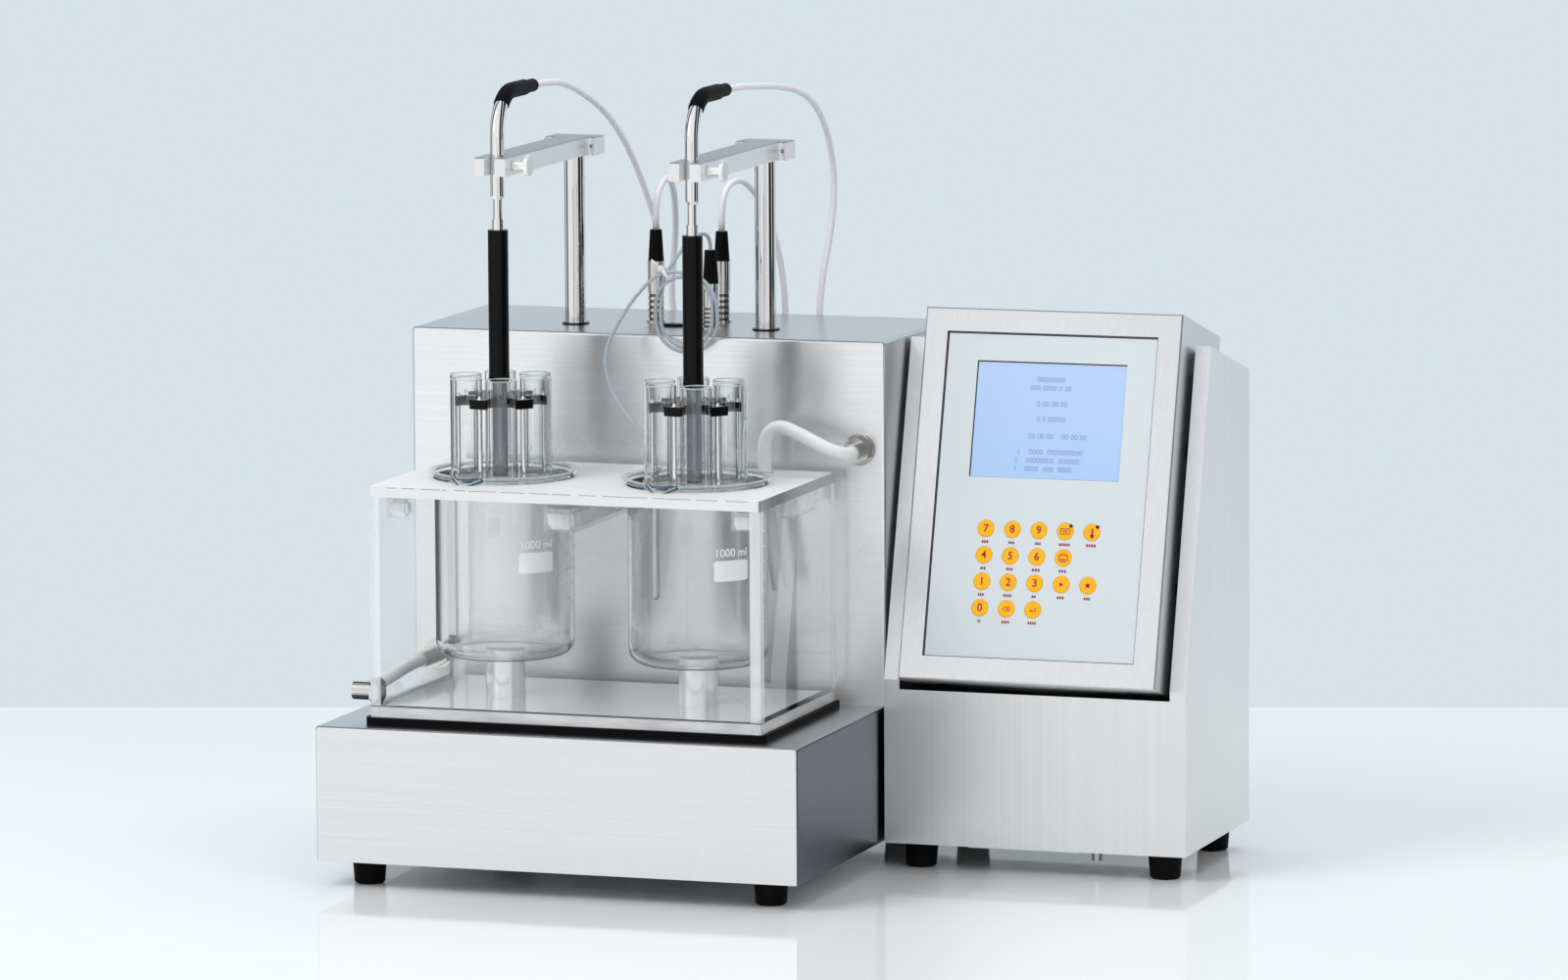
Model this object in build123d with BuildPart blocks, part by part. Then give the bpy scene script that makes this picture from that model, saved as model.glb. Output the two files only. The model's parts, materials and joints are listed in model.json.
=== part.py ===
from build123d import *
from math import cos, pi, radians, sin, tan
import os

# Tablet disintegration tester: a lift unit with a heated water bath, two beakers and two basket racks,
# and a control unit with a tilted keypad head beside it.
# Millimetres, +Z up. Places are measured from the lift unit's left side, its front and the floor.

# Overall build
lift_width = 380.0
unit_depth = 376.0
unit_gap = 3.0
control_width = 236.0
foot_height = 20.0
base_height = 102.0
tower_front = 212.0
tower_height = 277.0

# Sheet metal and fits
sheet = 1.5
bend_radius = 2.5
sheet_fit = 0.2
running_fit = 0.05
loose_fit = 0.3
rear_inset = 4.0
cut_overrun = 5.0

# Feet
foot_diameter = 26.0
foot_base_diameter = 23.0
foot_edge = 1.5
lift_foot_inset = 31.0
control_foot_side_inset = 22.0
control_foot_inset = 23.0

# Water bath, mat and lid
mat_thickness = 5.0
mat_margin = 4.0
mat_corner = 6.0
bath_left = 36.0
bath_front = 24.0
bath_depth = 175.0
bath_height = 166.0
bath_wall = 8.0
lid_thickness = 8.0
lid_corner = 3.0
lid_hole_fit = 0.8
hose_hole_fit = 2.2
pedestal_diameter = 30.0
pedestal_height = 31.0
centre_bar_width = 24.0
centre_bar_height = 18.0
centre_bar_drop = 4.0
centre_bar_shift = 6.0
corner_block_height = 14.0
corner_block_drop = 2.0
corner_block_width = 17.0
corner_block_depth = 13.0
corner_block_offset = 11.0
side_block_width = 14.0
side_block_depth = 60.0
side_block_height = 19.0

# Beakers
beaker_pitch = 154.0
beaker_y = 107.0
beaker_diameter = 105.0
beaker_wall = 2.5
beaker_floor = 3.0
beaker_height = 140.5
beaker_corner = 12.0
beaker_rim_diameter = 115.0
beaker_rim_height = 5.0
spout_angle = -100.0
spout_radius = 9.0
spout_root_share = 0.7
spout_reach = 53.5
spout_root_reach = 47.5

# Lift posts, lead screws and drive
post_diameter = 16.0
post_y = 269.0
lift_travel = 105.0
screw_diameter = 9.0
screw_collar_diameter = 14.0
screw_collar_height = 3.5
screw_spigot_diameter = 5.0
screw_spigot_length = 16.0
post_bore_fit = 0.6
nut_width = 30.0
nut_height = 24.0
nut_edge = 12.0
nut_clear = 2.0
guide_rod_diameter = 8.0
guide_rod_offset = 36.0
frame_plate = 5.0
frame_width = 250.0
frame_depth = 86.0
frame_top_gap = 3.0
frame_y_offset = 16.0
motor_size = 42.0
motor_height = 56.0
motor_corner = 4.0
motor_boss_diameter = 22.0
drive_opening_margin = 20.0
bush_diameter = 19.0
bush_ring_diameter = 21.0
bush_ring_height = 1.0
bush_length = 11.0
cap_shift = 1.0
cap_y = 272.6
cap_length = 16.0
cap_width = 9.0
cap_height = 2.0

# Arms and clamp knobs
arm_height = 14.0
arm_bottom = 529.5
arm_front = 82.0
arm_width = 25.0
arm_ear_width = 40.0
arm_ear_depth = 24.0
arm_notch_diameter = 7.5
arm_edge = 0.8
arm_cover = 3.0
rod_y = 99.0
rod_bore_fit = 0.1
rod_slot_width = 8.2
set_screw_diameter = 3.0
set_screw_depth = 8.0
set_screw_offset = 16.5
knob_shaft_diameter = 5.0
knob_hub_diameter = 8.0
knob_hub_length = 10.2
knob_disc_diameter = 16.0
knob_disc_thickness = 3.0
knob_notch_diameter = 1.6
knob_notches = 16
knob_clear = 0.4

# Hanger rods and their sleeves
rod_diameter = 10.5
rod_neck_diameter = 7.0
rod_collar_diameter = 9.0
rod_core_diameter = 6.0
rod_step_height = 511.0
rod_taper = 2.5
rod_neck_length = 15.0
rod_collar_length = 8.0
rod_core_length = 90.0
rod_bend_height = 558.0
rod_bend_radius = 32.0
rod_bend_angle = 52.0
boot_bend_start = 46.0
boot_diameter = 12.0
boot_tip_diameter = 10.0
boot_straight = 27.0
boot_tip_length = 19.0
sleeve_diameter = 15.3
sleeve_flare_diameter = 16.5
sleeve_end_height = 374.0
sleeve_flare_length = 7.0
shaft_diameter = 14.0

# Basket racks
basket_y = 102.0
basket_tubes = 6
basket_first_angle = -69.0
basket_circle_radius = 30.0
tube_diameter = 24.0
tube_bore = 21.6
tube_length = 77.5
tube_seat_height = 300.0
tube_fit = 0.15
lower_plate_radius = 33.0
lower_plate_thickness = 7.0
lower_plate_seat = 3.0
lower_plate_lobe = 1.0
lower_plate_hole = 20.4
upper_plate_radius = 36.0
upper_plate_height = 356.0
upper_plate_thickness = 7.0
pin_diameter = 3.0
pin_head_diameter = 4.4
pin_head_height = 2.6
pin_dome_diameter = 1.5
pin_circle_radius = 32.5
screen_thickness = 1.0

# Temperature probe and its clip
probe_shift = -41.0
probe_y = 126.0
probe_diameter = 7.0
probe_bottom = 209.0
clip_width = 10.0
clip_inner_reach = 4.0
clip_outer_reach = 18.0
clip_thickness = 3.0
clip_corner = 2.5

# Round cable plugs on the tower top
plug_body_diameter = 13.0
plug_rib_diameter = 12.4
plug_groove_diameter = 11.0
plug_washer_diameter = 15.0
plug_washer_height = 1.2
plug_nose_diameter = 9.0
plug_nose_length = 4.0
plug_ribs = 5
plug_rib_share = 0.5
boot_base_diameter = 12.0
boot_top_diameter = 9.2
left_plug_shift = -21.4
left_plug_y = 297.3
left_plug_joint = 446.0
left_plug_top = 470.0
right_plug_shift = 27.2
right_plug_y = 311.1
right_plug_joint = 446.0
right_plug_top = 468.6
sensor_plug_shift = 34.0
sensor_plug_y = 264.8
sensor_plug_joint = 433.6
sensor_plug_top = 459.0

# Cables
basket_cable_diameter = 5.0
sensor_cable_diameter = 2.7
coil_shift = 35.0
coil_y = 205.0
coil_z = 417.0
coil_inner_radius = 20.65
coil_side = 10.0
coil_strand_pitch = 4.0
coil_half_turns = 3

# Hoses and their fittings
suction_hose_diameter = 10.5
supply_hose_diameter = 10.0
suction_inset = 20.0
suction_z = 317.0
suction_hose_start = 190.0
suction_lid_inset = 86.2
suction_lid_y = 184.3
supply_x = 20.0
supply_z = 148.0
supply_hose_start = 168.0
supply_hose_end = 64.0
elbow_y = 47.0
elbow_z = 143.0
elbow_left = 14.0
elbow_diameter = 14.0
elbow_leg_diameter = 11.0
boss_diameter = 16.0
boss_length = 6.0
inlet_bore = 11.0
bulkhead_diameter = 12.0
bulkhead_back_length = 10.0
hex_radius = 10.5
hex_height = 7.0
washer_diameter = 24.0
washer_height = 2.0
barb_diameter = 13.0
back_nut_height = 5.0

# Circulator under the platform
pump_length = 84.0
pump_width = 60.0
pump_height = 52.0
pump_corner = 8.0
pump_head_diameter = 46.0
pump_head_length = 24.0
pump_shift = -120.0
pump_y = 80.0
heater_diameter = 34.0
heater_length = 150.0
heater_shift = -10.0
heater_axis_height = 40.0
heater_foot_width = 30.0
heater_foot_length = 16.0
heater_foot_share = 0.15
nozzle_diameter = 12.0
nozzle_length = 14.0

# Control unit housing
control_front = 199.0
knee_height = 145.0
tilt = 15.6
slope_length = 262.0
flange_width = 12.0
flange_depth = 20.0
head_slot = 5.0

# Head housing, keypad and display, along the tilted face (up from the knee) and out of it
head_left_gap = 6.3
head_right_gap = 4.5
head_low = -2.0
head_high = 281.5
head_proud = 25.0
head_behind = 81.0
head_bend = 2.0
keypad_left = 37.0
keypad_width = 164.0
keypad_low = 17.0
keypad_height = 246.0
keypad_recess = 1.0
keypad_thickness = 4.0
keypad_gap = 0.6
display_left = 61.6
display_width = 117.4
display_low = 153.5
display_height = 88.5
display_recess = 1.0
display_thickness = 6.0
display_fit = 0.3
head_boss_diameter = 10.0
head_boss_depth = 13.0
head_boss_share = 0.3

# Keys
key_diameter = 13.0
key_fit = 0.15
key_travel = 0.4
key_stop_gap = 0.1
key_thickness = 1.8
key_pocket = 2.0
key_edge = 0.5
key_first_x = 78.4
key_first_s = 114.5
key_pitch_x = 20.7
key_pitch_s = 20.05

# Mains inlet, rocker switch and control board
inlet_shift = 177.0
inlet_z = 70.0
inlet_width = 34.0
inlet_plate_height = 62.0
inlet_plate = 2.0
inlet_body_depth = 26.0
inlet_body_margin = 3.0
socket_width = 24.0
socket_height = 16.0
socket_depth = 16.0
socket_drop = 14.0
socket_pin_width = 2.0
socket_pin_height = 4.0
socket_pin_length = 8.0
socket_pin_pitch = 7.0
rocker_rise = 15.0
rocker_width = 20.0
rocker_length = 24.0
rocker_pivot_depth = 5.5
rocker_radius = 7.0
rocker_fit = 0.4
rocker_well_depth = 16.0
rocker_pin_diameter = 3.0
rocker_pin_length = 2.0
board_width = 150.0
board_depth = 100.0
board_thickness = 1.6
board_stand = 12.0
board_post_diameter = 7.0
board_inset = 8.0
board_shift = 112.0
board_y = 290.0
transformer_size = 46.0
transformer_height = 38.0
transformer_shift = 37.5
chip_size = 22.0
chip_height = 5.0

# Under the units
louvre_length = 40.0
louvre_width = 3.0
louvre_pitch = 10.0
louvre_columns = 2
louvre_column_pitch = 60.0
louvre_rows = 6
tower_louvre_height = 260.0
control_louvre_height = 237.0
strap_width = 60.0
strap_depth = 40.0
strap_thickness = 1.8
cover_shift = 62.0
cover_width = 86.0
cover_front = 212.0
cover_back = 330.0
cover_thickness = 3.0
stud_shift = 156.0
stud_y = 238.0
stud_diameter = 8.0
stud_height = 12.0

# Cable routes: the share of its shorter run that each corner's arc takes
corner_share = 0.45

# Worked-out places
left_side = -(lift_width + unit_gap + control_width) / 2
front_side = -unit_depth / 2
base_top = foot_height + base_height
tower_top = base_top + tower_height
control_left = lift_width + unit_gap
control_right = control_left + control_width
rear_face = unit_depth - rear_inset
bath_bottom = base_top + mat_thickness
bath_floor_top = bath_bottom + bath_wall
bath_top = bath_bottom + bath_height
bath_right = lift_width - bath_left
bath_back = bath_front + bath_depth
bath_inner_left = bath_left + bath_wall
bath_inner_right = bath_right - bath_wall
bath_inner_front = bath_front + bath_wall
bath_inner_back = bath_back - bath_wall
lid_top = bath_top + lid_thickness
beaker_bottom = bath_floor_top + pedestal_height
beaker_top = beaker_bottom + beaker_height
lift_centre = lift_width / 2
cap_x = lift_centre + cap_shift
left_plug_x = lift_centre + left_plug_shift
right_plug_x = lift_centre + right_plug_shift
sensor_plug_x = lift_centre + sensor_plug_shift
coil_x = lift_centre + coil_shift
pump_x = lift_centre + pump_shift
heater_x = lift_centre + heater_shift
suction_x = lift_width - suction_inset
suction_lid_x = lift_width - suction_lid_inset
inlet_x = control_left + inlet_shift
board_x = control_left + board_shift
cover_left = control_left + cover_shift
cover_right = cover_left + cover_width
stud_x = control_left + stud_shift
arm_top = arm_bottom + arm_height
post_top = arm_top - arm_cover
FROM_START = (Align.CENTER, Align.CENTER, Align.MIN)
UP = (0, 0, 1)
BACK = (0, 1, 0)
FRONT = (0, -1, 0)
RIGHT = (1, 0, 0)
LEFT = (-1, 0, 0)

side_places = {
    "left": lift_centre - beaker_pitch / 2,
    "right": lift_centre + beaker_pitch / 2,
}
probe_x = side_places["right"] + probe_shift

os.makedirs("parts", exist_ok=True)


def write(part, name):
    """Label a finished piece and write its file."""
    part.label = name
    export_step(part, f"parts/{name}.step")


def at(x, y, z):
    """A place measured from the lift unit's left side, its front and the floor."""
    return Vector(left_side + x, front_side + y, z)


def middle_at(x, y, z):
    """A place measured from the lift unit's middle instead of its left side."""
    return at(lift_centre + x, y, z)


def plan(x, y):
    """A place on a level plane, from the left side and the front."""
    return (left_side + x, front_side + y)


def block(x_ends, y_ends, z_ends, mode=Mode.ADD):
    """A box between two places along each axis."""
    low, high = (at(*corner) for corner in zip(x_ends, y_ends, z_ends))
    size = high - low
    with Locations((low + high) / 2):
        return Box(size.X, size.Y, size.Z, mode=mode)


def bar(start, direction, length, diameter, mode=Mode.ADD):
    """A round bar from a place along a direction."""
    with Locations(Plane(start, z_dir=direction).location):
        return Cylinder(diameter / 2, length, align=FROM_START, mode=mode)


def turned(x, y, outline, mode=Mode.ADD):
    """A turned form about an upright axis, from the radius and height of each corner."""
    with BuildSketch(Plane(at(x, y, 0), x_dir=RIGHT, z_dir=FRONT)) as profile:
        with BuildLine():
            Polyline(*outline, close=True)
        make_face()
    revolve(profile.sketch, axis=Axis(at(x, y, 0), UP), mode=mode)


def hexagon(start, direction, length):
    """A hexagon nut along a direction."""
    with BuildSketch(Plane(start, z_dir=direction)) as outline:
        RegularPolygon(hex_radius, 6)
    extrude(outline.sketch, amount=length)


def corner_radii(points):
    """The arc at each corner of a route is as large as its two runs allow."""
    radii = []
    for before, corner, after in zip(points, points[1:], points[2:]):
        run_in, run_out = corner - before, after - corner
        half_turn = radians(run_in.get_angle(run_out)) / 2
        radii.append(corner_share * min(run_in.length, run_out.length) / tan(half_turn))
    return radii


def flexible_tube(name, points, diameter):
    """A cable or hose of straight runs joined by tangent arcs."""
    radii = corner_radii(points)
    with BuildPart() as tube:
        with BuildLine() as route:
            FilletPolyline(*points, radius=radii)
        with BuildSketch(Plane(route.line @ 0, z_dir=route.line % 0)):
            Circle(diameter / 2)
        sweep()
    length = route.wire().length
    share = tube.part.volume / (pi * diameter**2 / 4 * length)
    print(name, "length", round(length, 1), "volume share", round(share, 4))
    print(name, "least radius", round(min(radii), 1))
    return tube.part


# Base housing: an open-bottomed steel sheet box that carries the bath and the tower.
with BuildPart() as base_housing:
    block((0, lift_width), (0, unit_depth), (foot_height, base_top))
    fillet(
        base_housing.edges().filter_by(Axis.Z) + base_housing.faces().sort_by(Axis.Z)[-1].edges(),
        radius=bend_radius,
    )
    block((sheet, lift_width - sheet), (sheet, unit_depth - sheet),
          (foot_height - cut_overrun, base_top - sheet), mode=Mode.SUBTRACT)
    block((side_places["left"] - drive_opening_margin - motor_size / 2,
           side_places["right"] + drive_opening_margin + motor_size / 2),
          (post_y - motor_size / 2 - loose_fit, post_y + motor_size / 2 + loose_fit),
          (base_top - cut_overrun, base_top + cut_overrun), mode=Mode.SUBTRACT)
write(base_housing.part, "base_housing")

# Bottom plates of both units with vent slots, the strap that joins them, and the black cover with its stud.
plate_inset = sheet + sheet_fit
with BuildPart() as bottom_plates:
    block((plate_inset, lift_width - plate_inset), (plate_inset, unit_depth - plate_inset),
          (foot_height, foot_height + sheet))
    block((control_left + plate_inset, control_right - plate_inset),
          (control_front + plate_inset, rear_face - sheet), (foot_height, foot_height + sheet))
    with BuildSketch(Plane.XY.offset(foot_height)) as vents:
        with Locations(plan(lift_centre, unit_depth / 2), plan(board_x, board_y)):
            with GridLocations(louvre_column_pitch, louvre_pitch, louvre_columns, louvre_rows):
                SlotOverall(louvre_length, louvre_width)
    extrude(vents.sketch, amount=sheet, mode=Mode.SUBTRACT)
    block((lift_width + unit_gap / 2 - strap_width / 2, lift_width + unit_gap / 2 + strap_width / 2),
          (post_y, post_y + strap_depth), (foot_height - strap_thickness, foot_height))
    block((cover_left, cover_right), (cover_front, cover_back), (foot_height - cover_thickness, foot_height))
    bar(at(stud_x, stud_y, foot_height - stud_height), UP, stud_height, stud_diameter)
write(bottom_plates.part, "bottom_plates")

# Eight rubber feet.
foot_places = [
    at(x, y, 0)
    for x in (lift_foot_inset, lift_width - lift_foot_inset)
    for y in (lift_foot_inset, unit_depth - lift_foot_inset)
] + [
    at(x, y, 0)
    for x in (control_left + control_foot_side_inset, control_right - control_foot_side_inset)
    for y in (control_front + control_foot_inset, unit_depth - control_foot_inset)
]
with BuildPart() as housing_feet:
    with Locations(*foot_places):
        Cone(foot_base_diameter / 2, foot_diameter / 2, foot_height, align=FROM_START)
    chamfer(housing_feet.faces().group_by(Axis.Z)[0].edges(), length=foot_edge)
write(housing_feet.part, "housing_feet")

# Tower housing: a steel sheet box open at the bottom and the back.
plug_places = {
    "left": (left_plug_x, left_plug_y, left_plug_joint, left_plug_top),
    "right": (right_plug_x, right_plug_y, right_plug_joint, right_plug_top),
    "sensor": (sensor_plug_x, sensor_plug_y, sensor_plug_joint, sensor_plug_top),
}
bulkhead_places = ((suction_x, suction_z), (supply_x, supply_z))
with BuildPart() as tower_housing:
    block((0, lift_width), (tower_front, unit_depth), (base_top, tower_top))
    fillet(
        tower_housing.edges().filter_by(Axis.Z).group_by(Axis.Y)[0]
        + tower_housing.faces().sort_by(Axis.Z)[-1].edges(),
        radius=bend_radius,
    )
    block((sheet, lift_width - sheet), (tower_front + sheet, unit_depth + cut_overrun),
          (base_top - cut_overrun, tower_top - sheet), mode=Mode.SUBTRACT)
    for x in side_places.values():
        bar(at(x, post_y, tower_top - cut_overrun), UP, 2 * cut_overrun, bush_diameter, mode=Mode.SUBTRACT)
    for x, y, joint, top in plug_places.values():
        bar(at(x, y, tower_top - cut_overrun), UP, 2 * cut_overrun, plug_nose_diameter + sheet_fit,
            mode=Mode.SUBTRACT)
    for x, z in bulkhead_places:
        bar(at(x, tower_front - cut_overrun, z), BACK, 2 * cut_overrun, bulkhead_diameter + sheet_fit,
            mode=Mode.SUBTRACT)
write(tower_housing.part, "tower_housing")

# Rear covers with louvre slots, set a little inside both housings.
control_top_y = control_front + slope_length * sin(radians(tilt))
control_top_z = knee_height + slope_length * cos(radians(tilt))
control_back_z = control_top_z - (unit_depth - control_top_y) * tan(radians(tilt))
inlet_ends = (inlet_x - inlet_width / 2 + inlet_body_margin, inlet_x + inlet_width / 2 - inlet_body_margin)
inlet_heights = (
    inlet_z - inlet_plate_height / 2 + inlet_body_margin,
    inlet_z + inlet_plate_height / 2 - inlet_body_margin,
)
with BuildPart() as rear_covers:
    block((plate_inset, lift_width - plate_inset), (rear_face - sheet, rear_face),
          (base_top + sheet_fit, tower_top - plate_inset))
    block((control_left + plate_inset, control_right - plate_inset), (rear_face - sheet, rear_face),
          (foot_height, control_back_z - sheet))
    louvre_centres = [
        at(lift_centre, rear_face, tower_louvre_height),
        at(control_left + control_width / 2, rear_face, control_louvre_height),
    ]
    with BuildSketch(Plane(at(0, rear_face, 0), x_dir=LEFT, z_dir=BACK)) as louvres:
        for place in louvre_centres:
            with Locations((left_side - place.X, place.Z)):
                with GridLocations(louvre_column_pitch, louvre_pitch, louvre_columns, louvre_rows):
                    SlotOverall(louvre_length, louvre_width)
    extrude(louvres.sketch, amount=-sheet, mode=Mode.SUBTRACT)
    block((inlet_ends[0] - sheet_fit, inlet_ends[1] + sheet_fit),
          (rear_face - cut_overrun, rear_face + cut_overrun),
          (inlet_heights[0] - sheet_fit, inlet_heights[1] + sheet_fit), mode=Mode.SUBTRACT)
write(rear_covers.part, "rear_covers")

# Rubber mat under the bath.
with BuildPart() as bath_mat:
    block((bath_left - mat_margin, bath_right + mat_margin),
          (bath_front - mat_margin, bath_back + mat_margin), (base_top, bath_bottom))
    fillet(bath_mat.edges().filter_by(Axis.Z), radius=mat_corner)
write(bath_mat.part, "bath_mat")

# Clear acrylic bath with its welded pedestals, blocks, centre bar and inlet boss.
with BuildPart() as water_bath:
    block((bath_left, bath_right), (bath_front, bath_back), (bath_bottom, bath_top))
    block((bath_inner_left, bath_inner_right), (bath_inner_front, bath_inner_back),
          (bath_floor_top, bath_top + cut_overrun), mode=Mode.SUBTRACT)
    for x in side_places.values():
        bar(at(x, beaker_y, bath_floor_top), UP, pedestal_height, pedestal_diameter)
    bar_top = bath_top - centre_bar_drop
    bar_centre = lift_centre - centre_bar_shift
    block((bar_centre - centre_bar_width / 2, bar_centre + centre_bar_width / 2),
          (bath_inner_front, bath_inner_back), (bar_top - centre_bar_height, bar_top))
    corner_top = bath_top - corner_block_drop
    corner_left = bath_left + corner_block_offset
    for start in (corner_left, bath_inner_right - corner_block_width):
        block((start, start + corner_block_width),
              (bath_inner_front, bath_inner_front + corner_block_depth),
              (corner_top - corner_block_height, corner_top))
    block((bath_inner_right - side_block_width, bath_inner_right),
          (bath_inner_back - side_block_depth, bath_inner_back), (bath_top - side_block_height, bath_top))
    bar(at(bath_left, elbow_y, elbow_z), RIGHT, bath_wall + boss_length, boss_diameter)
    bar(at(bath_left - cut_overrun, elbow_y, elbow_z), RIGHT, bath_wall + boss_length + 2 * cut_overrun,
        inlet_bore, mode=Mode.SUBTRACT)
write(water_bath.part, "water_bath")

# White lid with a hole for each beaker and one for the suction hose.
with BuildPart() as bath_lid:
    block((bath_left, bath_right), (bath_front, bath_back), (bath_top, lid_top))
    fillet(bath_lid.edges().filter_by(Axis.Z), radius=lid_corner)
    for x in side_places.values():
        bar(at(x, beaker_y, bath_top - cut_overrun), UP, lid_thickness + 2 * cut_overrun,
            beaker_diameter + 2 * lid_hole_fit, mode=Mode.SUBTRACT)
    bar(at(suction_lid_x, suction_lid_y, bath_top - cut_overrun), UP, lid_thickness + 2 * cut_overrun,
        suction_hose_diameter + 2 * hose_hole_fit, mode=Mode.SUBTRACT)
write(bath_lid.part, "bath_lid")


def spout(x, thinner, overrun, mode):
    """The pouring lip, widening from the wall to the rim; thinner leaves the glass outside it."""
    direction = Vector(cos(radians(spout_angle)), sin(radians(spout_angle)), 0)
    root_z = beaker_top - beaker_rim_height
    with BuildSketch(Plane.XY.offset(root_z)) as root:
        with Locations(at(x, beaker_y, 0) + direction * spout_root_reach):
            Circle(spout_radius * spout_root_share - thinner)
    with BuildSketch(Plane.XY.offset(beaker_top + overrun)) as mouth:
        with Locations(at(x, beaker_y, 0) + direction * spout_reach):
            Circle(spout_radius - thinner)
    loft([root.sketch, mouth.sketch], mode=mode)


def turned_glass(x, wall, floor, overrun, mode):
    """The beaker's turned form; wall and floor are the glass left outside and under it."""
    radius = beaker_diameter / 2 - wall
    rim = beaker_rim_diameter / 2 - wall
    corner = beaker_corner - wall
    bottom = beaker_bottom + floor
    mouth = [(rim, beaker_top + overrun)] if overrun else []
    with BuildSketch(Plane(at(x, beaker_y, 0), x_dir=RIGHT, z_dir=FRONT)) as profile:
        with BuildLine():
            Line((0, bottom), (radius - corner, bottom))
            CenterArc((radius - corner, bottom + corner), corner, -90, 90)
            Polyline((radius, bottom + corner), (radius, beaker_top - beaker_rim_height), (rim, beaker_top),
                     *mouth, (0, beaker_top + overrun), (0, bottom))
        make_face()
    revolve(profile.sketch, axis=Axis(at(x, beaker_y, 0), UP), mode=mode)


# Two glass beakers with flared rims and spouts.
for side, x in side_places.items():
    with BuildPart() as beaker:
        turned_glass(x, 0, 0, 0, Mode.ADD)
        spout(x, 0, 0, Mode.ADD)
        turned_glass(x, beaker_wall, beaker_floor, cut_overrun, Mode.SUBTRACT)
        spout(x, beaker_wall, cut_overrun, Mode.SUBTRACT)
    write(beaker.part, f"beaker_{side}")

# Guide bushes with black rings for the posts, and the blanking cap between them.
with BuildPart() as tower_inserts:
    for x in side_places.values():
        bar(at(x, post_y, tower_top - bush_length), UP, bush_length, bush_diameter)
        bar(at(x, post_y, tower_top), UP, bush_ring_height, bush_ring_diameter)
        bar(at(x, post_y, tower_top - bush_length - cut_overrun), UP,
            bush_length + 2 * cut_overrun + bush_ring_height, post_diameter + 2 * running_fit,
            mode=Mode.SUBTRACT)
    with BuildSketch(Plane.XY.offset(tower_top)) as cap:
        with Locations(plan(cap_x, cap_y)):
            SlotOverall(cap_length, cap_width)
    extrude(cap.sketch, amount=cap_height)
write(tower_inserts.part, "tower_inserts")

# Lift drive: the welded frame with its guide rods, and the two geared motors hung under it.
frame_top = tower_top - frame_top_gap - sheet
guide_y = post_y + guide_rod_offset
frame_middle = post_y + frame_y_offset
frame_ends = (lift_centre - frame_width / 2, lift_centre + frame_width / 2)
frame_sides = (frame_middle - frame_depth / 2, frame_middle + frame_depth / 2)
with BuildPart() as lift_drive:
    block(frame_ends, frame_sides, (base_top, base_top + frame_plate))
    block(frame_ends, frame_sides, (frame_top - frame_plate, frame_top))
    for x in side_places.values():
        bar(at(x, guide_y, base_top), UP, frame_top - base_top, guide_rod_diameter)
        bar(at(x, post_y, base_top - cut_overrun), UP, 2 * cut_overrun + frame_plate, motor_boss_diameter,
            mode=Mode.SUBTRACT)
        bar(at(x, post_y, frame_top - frame_plate - cut_overrun), UP, 2 * cut_overrun + frame_plate,
            bush_diameter + 2 * sheet_fit, mode=Mode.SUBTRACT)
    with BuildPart(mode=Mode.PRIVATE) as motor:
        Box(motor_size, motor_size, motor_height, align=(Align.CENTER, Align.CENTER, Align.MAX))
        fillet(motor.edges().filter_by(Axis.Z), radius=motor_corner)
        Cylinder((motor_boss_diameter - sheet) / 2, frame_plate, align=FROM_START)
        Cylinder(screw_spigot_diameter / 2 + running_fit, motor_height + frame_plate, mode=Mode.SUBTRACT)
    for x in side_places.values():
        with Locations(at(x, post_y, base_top)):
            add(motor.part)
write(lift_drive.part, "lift_drive")

# Circulation pump and tubular heater on the bottom plate.
circulator_floor = foot_height + sheet
with BuildPart() as water_circulator:
    pump_ends = (pump_x, pump_x + pump_length)
    pump_sides = (pump_y, pump_y + pump_width)
    block(pump_ends, pump_sides, (circulator_floor, circulator_floor + pump_height))
    fillet(water_circulator.edges().filter_by(Axis.X), radius=pump_corner)
    pump_axis_y = pump_y + pump_width / 2
    pump_axis_z = circulator_floor + pump_height / 2
    bar(at(pump_x, pump_axis_y, pump_axis_z), LEFT, pump_head_length, pump_head_diameter)
    bar(at(pump_x - pump_head_length / 2, pump_axis_y, pump_axis_z), UP,
        pump_head_diameter / 2 + nozzle_length, nozzle_diameter)
    heater_z = circulator_floor + heater_axis_height
    bar(at(heater_x, pump_axis_y, heater_z), RIGHT, heater_length, heater_diameter)
    for share in (heater_foot_share, 1 - heater_foot_share):
        middle = heater_x + heater_length * share
        block((middle - heater_foot_length / 2, middle + heater_foot_length / 2),
              (pump_axis_y - heater_foot_width / 2, pump_axis_y + heater_foot_width / 2),
              (circulator_floor, heater_z))
        bar(at(middle, pump_axis_y, heater_z), UP, heater_diameter / 2 + nozzle_length, nozzle_diameter)
write(water_circulator.part, "water_circulator")


# Moving pieces of each lift: post, screw, arm, knob, hanger rod, sleeves and basket rack.
nut_bottom = base_top + frame_plate + screw_collar_height + nut_clear + lift_travel
nut_back = guide_y + nut_edge
screw_top = frame_top - frame_plate
pin_angles = 360 / basket_tubes
star_first_angle = basket_first_angle + pin_angles / 2
shaft_bottom = tube_seat_height + lower_plate_seat
knob_z = arm_bottom + arm_height / 2
knob_y = rod_y


def tube_places(x, radius, first_angle):
    """Places of the pieces round a basket's centre."""
    centre = at(x, basket_y, 0)
    angles = [radians(first_angle + pin_angles * count) for count in range(basket_tubes)]
    return [centre + Vector(radius * cos(angle), radius * sin(angle), 0) for angle in angles]


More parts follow.
